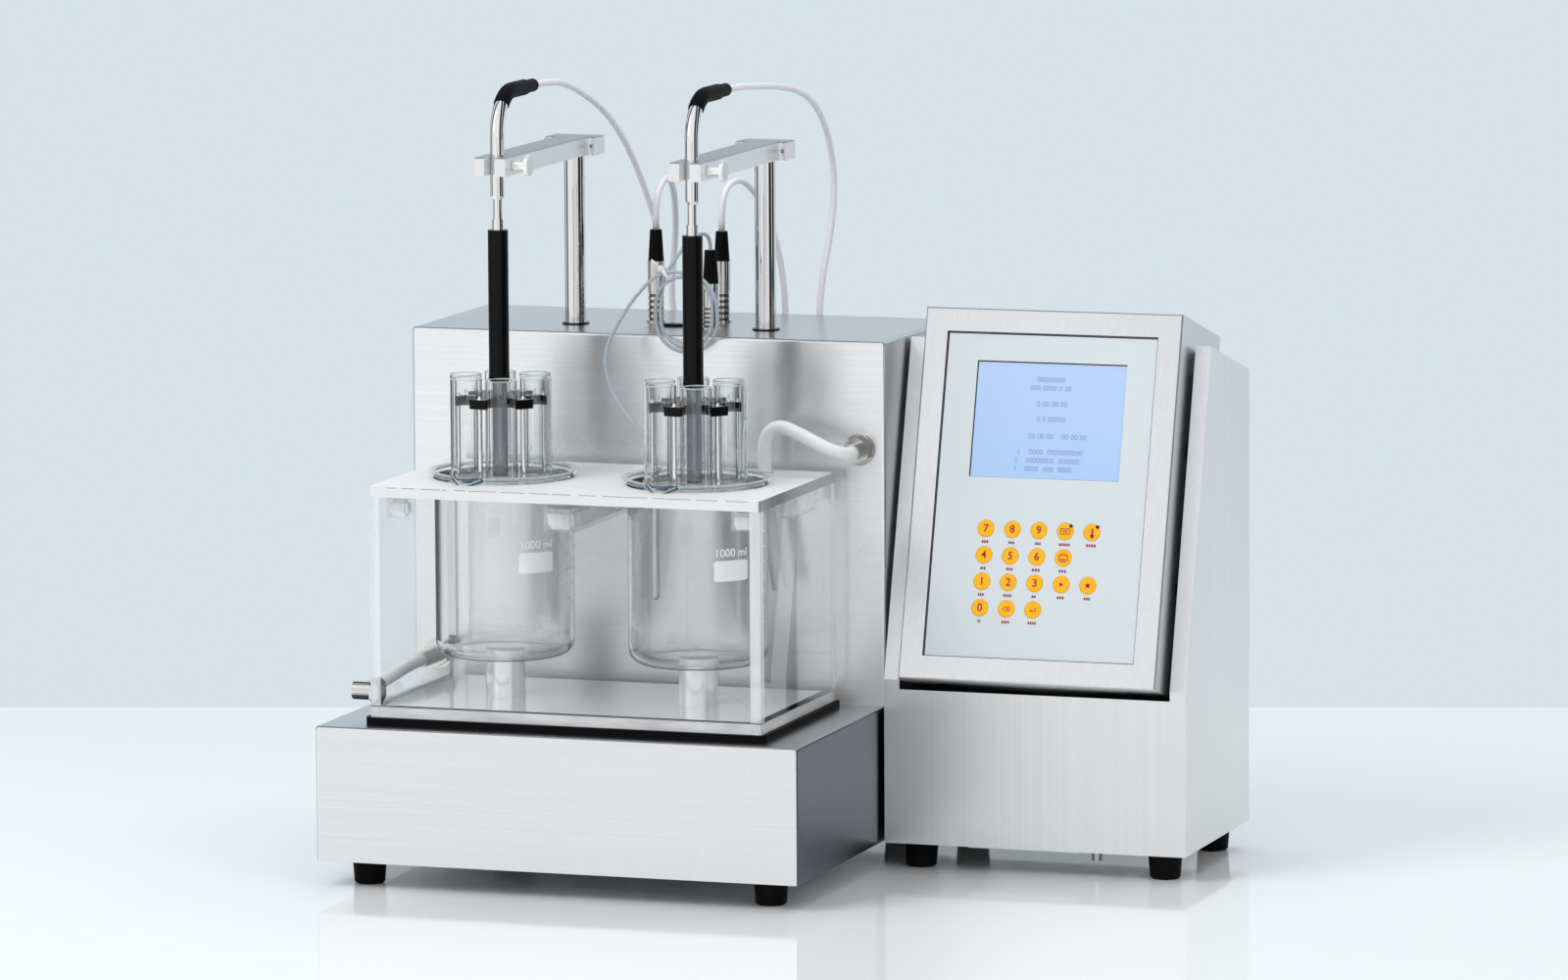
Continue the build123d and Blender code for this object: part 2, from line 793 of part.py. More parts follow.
for side, x in side_places.items():
    # Post: a steel tube over the lead screw, with the nut block that runs on the guide rod at its foot.
    with BuildPart() as lift_post:
        bar(at(x, post_y, nut_bottom), UP, post_top - nut_bottom, post_diameter)
        block((x - nut_width / 2, x + nut_width / 2), (post_y - nut_edge, nut_back),
              (nut_bottom, nut_bottom + nut_height))
        bar(at(x, post_y, nut_bottom + nut_height), UP, screw_top + lift_travel - nut_bottom,
            screw_diameter + 2 * post_bore_fit, mode=Mode.SUBTRACT)
        bar(at(x, post_y, nut_bottom - cut_overrun), UP, nut_height + 2 * cut_overrun,
            screw_diameter + 2 * running_fit, mode=Mode.SUBTRACT)
        bar(at(x, guide_y, nut_bottom - cut_overrun), UP, nut_height + 2 * cut_overrun,
            guide_rod_diameter + 2 * running_fit, mode=Mode.SUBTRACT)
    write(lift_post.part, f"lift_post_{side}")

    # Lead screw with its collar on the motor and its spigot in the motor's hollow shaft.
    with BuildPart() as lead_screw:
        collar_bottom = base_top + frame_plate + loose_fit
        bar(at(x, post_y, collar_bottom), UP, screw_top - collar_bottom, screw_diameter)
        chamfer(lead_screw.faces().sort_by(Axis.Z)[-1].edges(), length=arm_edge)
        bar(at(x, post_y, collar_bottom), UP, screw_collar_height, screw_collar_diameter)
        bar(at(x, post_y, collar_bottom - screw_spigot_length), UP, screw_spigot_length,
            screw_spigot_diameter)
    write(lead_screw.part, f"lead_screw_{side}")

    # Arm: a bar from the post to the rod, forked for the rod at its front and notched beside its rear ears.
    with BuildPart() as lift_arm:
        ear_back = post_y + arm_ear_depth / 2
        arm_length = ear_back - arm_front
        with BuildSketch(Plane.XY.offset(arm_bottom)) as arm_outline:
            with Locations(plan(x, arm_front + arm_length / 2)):
                Rectangle(arm_width, arm_length)
            with Locations(plan(x, post_y)):
                Rectangle(arm_ear_width, arm_ear_depth)
            notch_x = (arm_ear_width + arm_width) / 4
            notch_y = post_y - arm_ear_depth / 2
            with Locations(plan(x - notch_x, notch_y), plan(x + notch_x, notch_y)):
                Circle(arm_notch_diameter / 2, mode=Mode.SUBTRACT)
        extrude(arm_outline.sketch, amount=arm_height)
        chamfer(lift_arm.faces().sort_by(Axis.Z)[-1].edges(), length=arm_edge)
        with BuildSketch(Plane.XY.offset(arm_bottom - cut_overrun)) as rod_fork:
            with Locations(plan(x, rod_y)):
                Circle(rod_diameter / 2 + rod_bore_fit)
            with Locations(plan(x, (arm_front - cut_overrun + rod_y) / 2)):
                Rectangle(rod_slot_width, rod_y - arm_front + cut_overrun)
        extrude(rod_fork.sketch, amount=arm_height + 2 * cut_overrun, mode=Mode.SUBTRACT)
        bar(at(x, post_y, arm_bottom - cut_overrun), UP, post_top - arm_bottom + cut_overrun,
            post_diameter + 2 * running_fit, mode=Mode.SUBTRACT)
        bar(at(x, knob_y, knob_z), RIGHT, arm_width, knob_shaft_diameter + 2 * running_fit,
            mode=Mode.SUBTRACT)
        bar(at(x + set_screw_offset, post_y - arm_ear_depth / 2 - cut_overrun, knob_z), BACK,
            set_screw_depth + cut_overrun, set_screw_diameter, mode=Mode.SUBTRACT)
    write(lift_arm.part, f"lift_arm_{side}")

    # Clamp knob: a screw shaft, a hub and a knurled disc.
    with BuildPart() as arm_knob:
        shaft_start = x + rod_diameter / 2 + knob_clear
        hub_start = x + arm_width / 2 + knob_clear
        bar(at(shaft_start, knob_y, knob_z), RIGHT, hub_start - shaft_start, knob_shaft_diameter)
        bar(at(hub_start, knob_y, knob_z), RIGHT, knob_hub_length, knob_hub_diameter)
        with BuildSketch(Plane(at(hub_start + knob_hub_length, knob_y, knob_z), z_dir=RIGHT)) as disc:
            Circle(knob_disc_diameter / 2)
            with PolarLocations(knob_disc_diameter / 2, knob_notches):
                Circle(knob_notch_diameter / 2, mode=Mode.SUBTRACT)
        extrude(disc.sketch, amount=knob_disc_thickness)
    write(arm_knob.part, f"arm_knob_{side}")

    # Hanger rod: stepped, and bent back at its top; with the steel pins of the basket rack below it.
    bend_centre = at(x, rod_y + rod_bend_radius, rod_bend_height)
    with BuildPart() as hanger_rod:
        neck_bottom = rod_step_height - rod_neck_length
        collar_bottom = neck_bottom - rod_collar_length
        turned(x, rod_y, [
            (0, collar_bottom - rod_core_length),
            (rod_core_diameter / 2, collar_bottom - rod_core_length),
            (rod_core_diameter / 2, collar_bottom),
            (rod_collar_diameter / 2, collar_bottom),
            (rod_collar_diameter / 2, neck_bottom),
            (rod_neck_diameter / 2, neck_bottom),
            (rod_neck_diameter / 2, rod_step_height),
            (rod_diameter / 2, rod_step_height + rod_taper),
            (rod_diameter / 2, rod_bend_height),
            (0, rod_bend_height),
        ])
        with BuildSketch(Plane(at(x, rod_y, rod_bend_height), z_dir=UP)) as rod_section:
            Circle(rod_diameter / 2)
        revolve(rod_section.sketch, axis=Axis(bend_centre, LEFT), revolution_arc=rod_bend_angle)
        pin_top = upper_plate_height + upper_plate_thickness
        for place in tube_places(x, pin_circle_radius, star_first_angle):
            pin_start = Vector(place.X, place.Y, shaft_bottom)
            bar(pin_start, UP, pin_top - shaft_bottom, pin_diameter)
            with Locations(Vector(place.X, place.Y, pin_top)):
                Cone(pin_head_diameter / 2, pin_dome_diameter / 2, pin_head_height, align=FROM_START)
    write(hanger_rod.part, f"hanger_rod_{side}")

    # Black sleeve over the rod with its shaft down to the rack, and the boot on the rod's bent end.
    with BuildPart() as hanger_sleeves:
        turned(x, rod_y, [
            (0, shaft_bottom),
            (shaft_diameter / 2, shaft_bottom),
            (shaft_diameter / 2, sleeve_end_height),
            (sleeve_flare_diameter / 2, sleeve_end_height),
            (sleeve_diameter / 2, sleeve_end_height + sleeve_flare_length),
            (sleeve_diameter / 2, collar_bottom),
            (0, collar_bottom),
        ])
        bar(at(x, rod_y, collar_bottom - rod_core_length), UP, rod_core_length + cut_overrun,
            rod_core_diameter, mode=Mode.SUBTRACT)
        start_angle = radians(boot_bend_start)
        boot_start = bend_centre + Vector(0, -cos(start_angle), sin(start_angle)) * rod_bend_radius
        boot_direction = Vector(0, sin(start_angle), cos(start_angle))
        with BuildSketch(Plane(boot_start, z_dir=boot_direction)) as boot_section:
            Circle(boot_diameter / 2)
        revolve(boot_section.sketch, axis=Axis(bend_centre, LEFT), revolution_arc=90 - boot_bend_start)
        boot_z = rod_bend_height + rod_bend_radius
        boot_joint = rod_y + rod_bend_radius + boot_straight
        bar(at(x, rod_y + rod_bend_radius, boot_z), BACK, boot_straight, boot_diameter)
        bar(at(x, boot_joint, boot_z), BACK, boot_tip_length, boot_tip_diameter)
        core_angle = rod_bend_angle - boot_bend_start
        with BuildSketch(Plane(boot_start, z_dir=boot_direction)) as rod_socket:
            Circle(rod_diameter / 2)
        revolve(rod_socket.sketch, axis=Axis(bend_centre, LEFT), revolution_arc=core_angle,
                mode=Mode.SUBTRACT)
    write(hanger_sleeves.part, f"hanger_sleeves_{side}")

    # Basket plates: the scalloped lower plate with tube seats, and the star-shaped upper plate.
    with BuildPart() as basket_plates:
        lower_bottom = tube_seat_height - (lower_plate_thickness - lower_plate_seat)
        with BuildSketch(Plane.XY.offset(lower_bottom)) as lower_outline:
            with Locations(plan(x, basket_y)):
                Circle(lower_plate_radius)
            with Locations(*tube_places(x, basket_circle_radius, basket_first_angle)):
                Circle(tube_diameter / 2 + lower_plate_lobe - tube_fit)
            with Locations(*tube_places(x, pin_circle_radius, star_first_angle)):
                Circle(pin_head_diameter / 2)
        extrude(lower_outline.sketch, amount=lower_plate_thickness)
        for place in tube_places(x, basket_circle_radius, basket_first_angle):
            seat = Vector(place.X, place.Y, tube_seat_height)
            bar(seat, UP, lower_plate_seat + cut_overrun, tube_diameter + 2 * tube_fit, mode=Mode.SUBTRACT)
            bar(Vector(place.X, place.Y, lower_bottom + screen_thickness), UP, lower_plate_thickness,
                lower_plate_hole, mode=Mode.SUBTRACT)
        with BuildSketch(Plane.XY.offset(upper_plate_height)) as star:
            with Locations(plan(x, basket_y)):
                Circle(upper_plate_radius)
            with Locations(*tube_places(x, basket_circle_radius, basket_first_angle)):
                Circle(tube_diameter / 2 + tube_fit, mode=Mode.SUBTRACT)
            with Locations(plan(x, rod_y)):
                Circle(shaft_diameter / 2 + running_fit, mode=Mode.SUBTRACT)
            with Locations(*tube_places(x, pin_circle_radius, star_first_angle)):
                Circle(pin_diameter / 2 + running_fit, mode=Mode.SUBTRACT)
        extrude(star.sketch, amount=upper_plate_thickness)
    write(basket_plates.part, f"basket_plates_{side}")

    # Six glass tubes, open at both ends.
    with BuildPart() as basket_glass:
        with BuildSketch(Plane.XY.offset(tube_seat_height)) as rings:
            with Locations(*tube_places(x, basket_circle_radius, basket_first_angle)):
                Circle(tube_diameter / 2)
                Circle(tube_bore / 2, mode=Mode.SUBTRACT)
        extrude(rings.sketch, amount=tube_length)
    write(basket_glass.part, f"basket_tubes_{side}")

# Temperature probe with a rounded tip, and the clip that hangs it on the right beaker's rim.
beaker_axis = at(side_places["right"], beaker_y, 0)
probe_place = at(probe_x, probe_y, 0)
outward = (probe_place - beaker_axis).normalized()
with BuildPart() as temperature_probe:
    probe_radius = probe_diameter / 2
    bar(at(probe_x, probe_y, probe_bottom + probe_radius), UP,
        beaker_top + clip_thickness - probe_bottom - probe_radius, probe_diameter)
    with Locations(at(probe_x, probe_y, probe_bottom + probe_radius)):
        Sphere(probe_radius)
    clip_middle = probe_place + outward * (clip_outer_reach - clip_inner_reach) / 2
    clip_plane = Plane(Vector(clip_middle.X, clip_middle.Y, beaker_top), x_dir=outward, z_dir=UP)
    with BuildSketch(clip_plane) as clip_outline:
        RectangleRounded(clip_inner_reach + clip_outer_reach, clip_width, clip_corner)
    extrude(clip_outline.sketch, amount=clip_thickness)
write(temperature_probe.part, "temperature_probe")

# Three round plugs: a ribbed metal body on a washer, and a tapered rubber boot.
with BuildPart() as cable_plugs:
    for x, y, joint, top in plug_places.values():
        washer_top = tower_top + plug_washer_height
        rib_zone = (joint - washer_top) * plug_rib_share
        rib_step = rib_zone / (2 * plug_ribs)
        outline = [
            (0, tower_top - plug_nose_length),
            (plug_nose_diameter / 2, tower_top - plug_nose_length),
            (plug_nose_diameter / 2, tower_top),
            (plug_washer_diameter / 2, tower_top),
            (plug_washer_diameter / 2, washer_top),
        ]
        for rib in range(plug_ribs):
            low = washer_top + 2 * rib * rib_step
            outline += [
                (plug_groove_diameter / 2, low),
                (plug_groove_diameter / 2, low + rib_step),
                (plug_rib_diameter / 2, low + rib_step),
                (plug_rib_diameter / 2, low + 2 * rib_step),
            ]
        outline += [
            (plug_body_diameter / 2, washer_top + rib_zone),
            (plug_body_diameter / 2, joint),
            (boot_base_diameter / 2, joint),
            (boot_top_diameter / 2, top),
            (0, top),
        ]
        turned(x, y, outline)
write(cable_plugs.part, "cable_plugs")

# Basket cables: each leaves its boot, hangs in a loop behind the tower and comes back to its plug.
left_cable_route = [
    at(side_places["left"], boot_joint + boot_tip_length, boot_z), at(side_places["left"], 200, boot_z),
    middle_at(-75.6, 247, 586.5), middle_at(-72, 311, 564), middle_at(-69, 347, 542),
    middle_at(-65, 371, 516), middle_at(-60, 386, 488), middle_at(-53.5, 397, 457),
    middle_at(-54, 399, 425), middle_at(-63, 397, 392), middle_at(-71, 396, 357),
    middle_at(-73, 396, 325), middle_at(-69, 396, 304), middle_at(-60, 396, 289),
    middle_at(-47, 396, 283), middle_at(-34, 396, 288), middle_at(-27, 396, 303),
    middle_at(-26, 395, 325), middle_at(-29.5, 394.5, 352), middle_at(-38, 393, 378),
    middle_at(-42, 391, 407), middle_at(-40, 390, 433), middle_at(-36, 386, 461),
    middle_at(-31.5, 371, 490), middle_at(-27, 346, 506), middle_at(-23, 325, 506.5),
    middle_at(-21.8, 306, 501.5), at(left_plug_x, left_plug_y, 488),
    at(left_plug_x, left_plug_y, left_plug_top),
]
right_cable_route = [
    at(side_places["right"], boot_joint + boot_tip_length, boot_z), at(side_places["right"], 203, boot_z),
    middle_at(78, 250, 586.5), middle_at(79, 305, 582), middle_at(81, 358, 572),
    middle_at(82.5, 391, 552), middle_at(84, 410, 523), middle_at(84, 417, 491),
    middle_at(81.5, 412, 455), middle_at(78, 402, 424), middle_at(77, 397, 393), middle_at(80, 396, 360),
    middle_at(82, 396, 330), middle_at(78.5, 396, 309), middle_at(69.5, 396, 294.5),
    middle_at(57.5, 396, 290.5), middle_at(47, 396, 297), middle_at(41.5, 396, 312),
    middle_at(42, 395, 333), middle_at(47, 394.5, 358), middle_at(50.5, 394, 384),
    middle_at(50.5, 394, 414), middle_at(46, 392, 448), middle_at(39, 382, 480),
    middle_at(31.5, 358, 503), middle_at(28.5, 338, 505.5), middle_at(27.5, 319.5, 500.5),
    at(right_plug_x, right_plug_y, 486.5), at(right_plug_x, right_plug_y, right_plug_top),
]
with BuildPart() as basket_cables:
    add(flexible_tube("left basket cable", left_cable_route, basket_cable_diameter))
    add(flexible_tube("right basket cable", right_cable_route, basket_cable_diameter))
write(basket_cables.part, "basket_cables")

# Sensor cable's coil: turns that widen by half a strand's pitch at each half turn.
coil_start_x = coil_x - coil_inner_radius
with BuildPart() as sensor_coil:
    with BuildLine(Plane(at(coil_x, coil_y, coil_z), x_dir=RIGHT, z_dir=FRONT)) as turns:
        strand = -coil_inner_radius
        reach = coil_inner_radius
        low = -coil_side / 2
        Line((strand, low + sensor_cable_diameter), (strand, low))
        for half_turn in range(coil_half_turns):
            below = half_turn % 2 == 0
            across = 1 if below else -1
            CenterArc((strand + across * reach, across * low), reach, 180 if below else 0, 180)
            strand += 2 * across * reach
            Line((strand, across * low), (strand, -across * low))
            reach += coil_strand_pitch / 2
        CenterArc((strand - reach, -low), reach, 0, 90)
        coil_end = (strand - reach, -low + reach)
        Line(coil_end, (coil_end[0] - sensor_cable_diameter, coil_end[1]))
    with BuildSketch(Plane(turns.line @ 0, z_dir=turns.line % 0)):
        Circle(sensor_cable_diameter / 2)
    sweep()
coil_length = turns.wire().length
coil_steps = round(coil_length)
coil_points = [turns.line @ (step / coil_steps) for step in range(coil_steps + 1)]
coil_gap = min(
    (one - other).length
    for index, one in enumerate(coil_points)
    for other in coil_points[index + round(pi * coil_inner_radius):]
)
print("coil length", round(coil_length, 1), "least gap", round(coil_gap - sensor_cable_diameter, 2))
write(sensor_coil.part, "sensor_coil")

# Sensor cable: from its plug over to the coil, and from the coil down to the probe.
coil_out = turns.line @ 1
sensor_entry_route = [
    at(sensor_plug_x, sensor_plug_y, sensor_plug_top), at(sensor_plug_x, sensor_plug_y, 467),
    middle_at(31.5, 257, 473.5), middle_at(26, 240, 470.5), middle_at(19.5, 220, 454),
    at(coil_start_x, 212, 443), at(coil_start_x, coil_y, 425), turns.line @ 0,
]
sensor_exit_route = [
    coil_out, middle_at(14, coil_y, coil_out.Z), middle_at(-2, 192, 430), middle_at(-14, 177, 405),
    middle_at(-17.7, 165, 386), middle_at(-9, 154, 364), middle_at(12, 142, 341),
    at(probe_x, probe_y, 326), at(probe_x, probe_y, beaker_top + clip_thickness),
]
with BuildPart() as sensor_cable:
    add(flexible_tube("sensor cable to the coil", sensor_entry_route, sensor_cable_diameter))
    add(flexible_tube("sensor cable to the probe", sensor_exit_route, sensor_cable_diameter))
write(sensor_cable.part, "sensor_cable")

# Hoses: the suction hose dips through the lid, the supply hose runs to the bath's left wall.
suction_route = [
    at(suction_x, suction_hose_start, suction_z), at(suction_x, 180, suction_z),
    at(lift_width - 28, 172.5, 320), at(lift_width - 42, 171.5, 326.5), at(lift_width - 58, 175.5, 333),
    at(lift_width - 74, 181.5, 337.5), at(lift_width - 86.5, suction_lid_y, 328),
    at(suction_lid_x, suction_lid_y, 306), at(lift_width - 83.5, suction_lid_y, 272),
    at(lift_width - 79.5, suction_lid_y, 240), at(lift_width - 75, suction_lid_y, 212),
]
supply_route = [
    at(supply_x, supply_hose_start, supply_z), at(supply_x, 147, supply_z), at(19.2, 112, 144.4),
    at(supply_x, 86, elbow_z), at(supply_x, supply_hose_end, elbow_z),
]
with BuildPart() as water_hoses:
    add(flexible_tube("suction hose", suction_route, suction_hose_diameter))
    add(flexible_tube("supply hose", supply_route, supply_hose_diameter))
write(water_hoses.part, "water_hoses")

# Nickel bulkheads through the tower front, and the elbow on the bath's left wall.
with BuildPart() as hose_fittings:
    for (x, z), hose_start in zip(bulkhead_places, (suction_hose_start, supply_hose_start)):
        bar(at(x, hose_start, z), BACK, tower_front - hose_start, barb_diameter)
        bar(at(x, tower_front, z), BACK, sheet + bulkhead_back_length, bulkhead_diameter)
        bar(at(x, tower_front - washer_height, z), BACK, washer_height, washer_diameter)
        hexagon(at(x, tower_front - washer_height, z), FRONT, hex_height)
        hexagon(at(x, tower_front + sheet, z), BACK, back_nut_height)
    bar(at(elbow_left, elbow_y, elbow_z), RIGHT, bath_left - elbow_left, elbow_diameter)
    hexagon(at(bath_left, elbow_y, elbow_z), LEFT, hex_height)
    bar(at(supply_x, elbow_y, elbow_z), BACK, supply_hose_end - elbow_y, elbow_leg_diameter)
write(hose_fittings.part, "hose_fittings")

# Control housing: a folded steel shell with a tilted upper front, flanged round the head.
face = Plane(at(control_left, control_front, knee_height), x_dir=RIGHT,
             z_dir=(0, -cos(radians(tilt)), sin(radians(tilt))))
head_ends = (flange_width + head_left_gap, control_width - flange_width - head_right_gap)


def tilted_block(x_ends, s_ends, p_ends, mode=Mode.ADD):
    """A box across the tilted face, up it from the knee, and out of it."""
    with BuildSketch(face.offset(p_ends[0])) as outline:
        with Locations((sum(x_ends) / 2, sum(s_ends) / 2)):
            Rectangle(x_ends[1] - x_ends[0], s_ends[1] - s_ends[0])
    return extrude(outline.sketch, amount=p_ends[1] - p_ends[0], mode=mode)


def control_outline(inset):
    """Side outline of the control housing, drawn in by an inset on its front and top."""
    knee_drop = inset * tan(radians(tilt / 2))
    top_y = control_top_y + inset * (cos(radians(tilt)) - sin(radians(tilt)))
    top_z = control_top_z - inset * (cos(radians(tilt)) + sin(radians(tilt)))
    back_y = unit_depth + (cut_overrun if inset else 0)
    back_z = top_z - (back_y - top_y) * tan(radians(tilt))
    floor = foot_height - (cut_overrun if inset else 0)
    corners = [
        (control_front + inset, floor),
        (control_front + inset, knee_height - knee_drop),
        (top_y, top_z),
        (back_y, back_z),
        (back_y, floor),
    ]
    return [(front_side + y, z) for y, z in corners]


with BuildPart() as control_housing:
    with BuildSketch(Plane(at(control_left, unit_depth / 2, 0), x_dir=BACK, z_dir=RIGHT)) as shell_outline:
        with BuildLine():
            Polyline(*control_outline(0), close=True)
        make_face()
    extrude(shell_outline.sketch, amount=control_width)
    room_plane = Plane(at(control_left + sheet, unit_depth / 2, 0), x_dir=BACK, z_dir=RIGHT)
    with BuildSketch(room_plane) as room_outline:
        with BuildLine():
            Polyline(*control_outline(sheet), close=True)
        make_face()
    extrude(room_outline.sketch, amount=control_width - 2 * sheet, mode=Mode.SUBTRACT)
    opening = (flange_width, control_width - flange_width)
    opening_low = head_low - head_slot
    tilted_block(opening, (opening_low, head_high), (-head_behind, head_proud), mode=Mode.SUBTRACT)
    for start in (flange_width - sheet, control_width - flange_width):
        tilted_block((start, start + sheet), (0, slope_length), (-flange_depth, 0))
    tilted_block((flange_width - sheet, control_width - flange_width + sheet),
                 (opening_low - sheet, opening_low), (-head_behind, -2 * sheet))
write(control_housing.part, "control_housing")

# Head housing: a sheet box with a framed front, on four bosses between the flanges.
keypad_ends = (keypad_left, keypad_left + keypad_width)
keypad_reach = (keypad_low, keypad_low + keypad_height)
keypad_front = head_proud - keypad_recess
keypad_back = keypad_front - keypad_thickness
with BuildPart() as head_housing:
    tilted_block(head_ends, (head_low, head_high), (-head_behind, head_proud))
    fillet(head_housing.faces().sort_by(Axis(face.origin, face.z_dir))[-1].edges(), radius=head_bend)
    tilted_block((head_ends[0] + sheet, head_ends[1] - sheet), (head_low + sheet, head_high - sheet),
                 (sheet - head_behind, head_proud - sheet), mode=Mode.SUBTRACT)
    tilted_block((keypad_ends[0] - keypad_gap, keypad_ends[1] + keypad_gap),
                 (keypad_reach[0] - keypad_gap, keypad_reach[1] + keypad_gap),
                 (head_proud - cut_overrun, head_proud + cut_overrun), mode=Mode.SUBTRACT)
    ledge = 2 * sheet
    tilted_block((head_ends[0], head_ends[1]), (keypad_reach[0] - ledge, keypad_reach[1] + ledge),
                 (keypad_back - sheet, keypad_back))
    tilted_block((keypad_ends[0] + ledge, keypad_ends[1] - ledge),
                 (keypad_reach[0] + ledge, keypad_reach[1] - ledge),
                 (keypad_back - cut_overrun, keypad_back + cut_overrun), mode=Mode.SUBTRACT)
    for share in (head_boss_share, 1 - head_boss_share):
        height = slope_length * share
        for start, end in ((opening[0], head_ends[0] + sheet), (head_ends[1] - sheet, opening[1])):
            boss_start = face.from_local_coords(Vector(start, height, -head_boss_depth))
            bar(boss_start, RIGHT, end - start, head_boss_diameter)
write(head_housing.part, "head_housing")

# Keys of the keypad, by row from the top.
key_rows = (
    ("7", "8", "9", "remote", "heater"),
    ("4", "5", "6", "print"),
    ("1", "2", "3", "start", "stop"),
    ("0", "clear", "enter"),
)
key_places = {
    name: (key_first_x + key_pitch_x * column, key_first_s - key_pitch_s * row)
    for row, names in enumerate(key_rows)
    for column, name in enumerate(names)
}

# Keypad panel with a pocket for each key and the display window.
with BuildPart() as keypad_panel:
    tilted_block(keypad_ends, keypad_reach, (keypad_back, keypad_front))
    tilted_block((display_left, display_left + display_width), (display_low, display_low + display_height),
                 (keypad_back - cut_overrun, keypad_front + cut_overrun), mode=Mode.SUBTRACT)
    with BuildSketch(face.offset(keypad_front - key_pocket)) as pockets:
        with Locations(*key_places.values()):
            Circle(key_diameter / 2 + key_fit)
    extrude(pockets.sketch, amount=key_pocket + cut_overrun, mode=Mode.SUBTRACT)
write(keypad_panel.part, "keypad_panel")

# Display module behind the panel's window.
display_front = keypad_front - display_recess
with BuildPart() as display_window:
    tilted_block((display_left + display_fit, display_left + display_width - display_fit),
                 (display_low + display_fit, display_low + display_height - display_fit),
                 (display_front - display_thickness, display_front))
write(display_window.part, "display_window")

# Round keys, each in its pocket over a short travel.
key_bottom = keypad_front - key_pocket + key_travel + key_stop_gap
for name, place in key_places.items():
    with BuildPart() as key:
        with BuildSketch(face.offset(key_bottom)) as key_outline:
            with Locations(place):
                Circle(key_diameter / 2)
        extrude(key_outline.sketch, amount=key_thickness)
        chamfer(key.faces().sort_by(Axis(face.origin, face.z_dir))[-1].edges(), length=key_edge)
    write(key.part, f"key_{name}")

# Mains inlet with its socket and the well of the rocker switch.
plate_front = rear_face
plate_back = rear_face + inlet_plate
socket_z = inlet_z - socket_drop
rocker_z = inlet_z + rocker_rise
rocker_y = plate_back - rocker_pivot_depth + inlet_plate
with BuildPart() as power_inlet:
    block((inlet_x - inlet_width / 2, inlet_x + inlet_width / 2), (plate_front, plate_back),
          (inlet_z - inlet_plate_height / 2, inlet_z + inlet_plate_height / 2))
    fillet(power_inlet.edges().filter_by(Axis.Y), radius=inlet_plate)
    block(inlet_ends, (plate_front - inlet_body_depth, plate_front), inlet_heights)
    block((inlet_x - socket_width / 2, inlet_x + socket_width / 2),
          (plate_back - socket_depth, plate_back + cut_overrun),
          (socket_z - socket_height / 2, socket_z + socket_height / 2), mode=Mode.SUBTRACT)
    for across, rise in ((-1, -1), (0, 1), (1, -1)):
        pin_x = inlet_x + across * socket_pin_pitch
        pin_z = socket_z + rise * socket_pin_height / 2
        block((pin_x - socket_pin_width / 2, pin_x + socket_pin_width / 2),
              (plate_back - socket_depth, plate_back - socket_depth + socket_pin_length),
              (pin_z - socket_pin_height / 2, pin_z + socket_pin_height / 2))
    block((inlet_x - rocker_width / 2, inlet_x + rocker_width / 2),
          (plate_back - rocker_well_depth, plate_back + cut_overrun),
          (rocker_z - rocker_length / 2, rocker_z + rocker_length / 2), mode=Mode.SUBTRACT)
    bar(at(inlet_x - rocker_width / 2 - rocker_pin_length, rocker_y, rocker_z), RIGHT,
        rocker_width + 2 * rocker_pin_length, rocker_pin_diameter + 2 * running_fit, mode=Mode.SUBTRACT)
write(power_inlet.part, "power_inlet")

# Rocker switch on its pivot pins, pressed in at its upper end.
with BuildPart() as rocker_switch:
    half_length = rocker_length / 2 - 2 * rocker_fit
    with BuildSketch(Plane(at(inlet_x - rocker_width / 2 + rocker_fit, rocker_y, rocker_z), x_dir=BACK,
                           z_dir=RIGHT)) as rocker_outline:
        with BuildLine():
            face_rise = rocker_radius - rocker_pivot_depth + inlet_plate
            ThreePointArc((face_rise + inlet_plate / 2, -half_length), (inlet_plate, 0),
                          (face_rise + inlet_plate / 2, half_length))
            Polyline((face_rise + inlet_plate / 2, half_length), (0, half_length), (-rocker_radius, 0),
                     (0, -half_length), (face_rise + inlet_plate / 2, -half_length))
        make_face()
    extrude(rocker_outline.sketch, amount=rocker_width - 2 * rocker_fit)
    bar(at(inlet_x - rocker_width / 2 - rocker_pin_length + rocker_fit, rocker_y, rocker_z), RIGHT,
        rocker_width + 2 * rocker_pin_length - 2 * rocker_fit, rocker_pin_diameter)
write(rocker_switch.part, "rocker_switch")

# Control board on four posts with its transformer and chips.
with BuildPart() as control_board:
    board_floor = foot_height + sheet
    board_bottom = board_floor + board_stand
    board_top = board_bottom + board_thickness
    block((board_x - board_width / 2, board_x + board_width / 2),
          (board_y - board_depth / 2, board_y + board_depth / 2), (board_bottom, board_top))
    for dx in (board_inset - board_width / 2, board_width / 2 - board_inset):
        for dy in (board_inset - board_depth / 2, board_depth / 2 - board_inset):
            bar(at(board_x + dx, board_y + dy, board_floor), UP, board_stand, board_post_diameter)
    transformer_x = board_x - transformer_shift
    block((transformer_x - transformer_size / 2, transformer_x + transformer_size / 2),
          (board_y - transformer_size / 2, board_y + transformer_size / 2),
          (board_top, board_top + transformer_height))
    for dx in (chip_size / 2, 2 * chip_size):
        block((board_x + dx, board_x + dx + chip_size), (board_y - chip_size / 2, board_y + chip_size / 2),
              (board_top, board_top + chip_height))
write(control_board.part, "control_board")
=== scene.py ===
import json
import math
import random

import bmesh
import bpy
from mathutils import Matrix, Vector


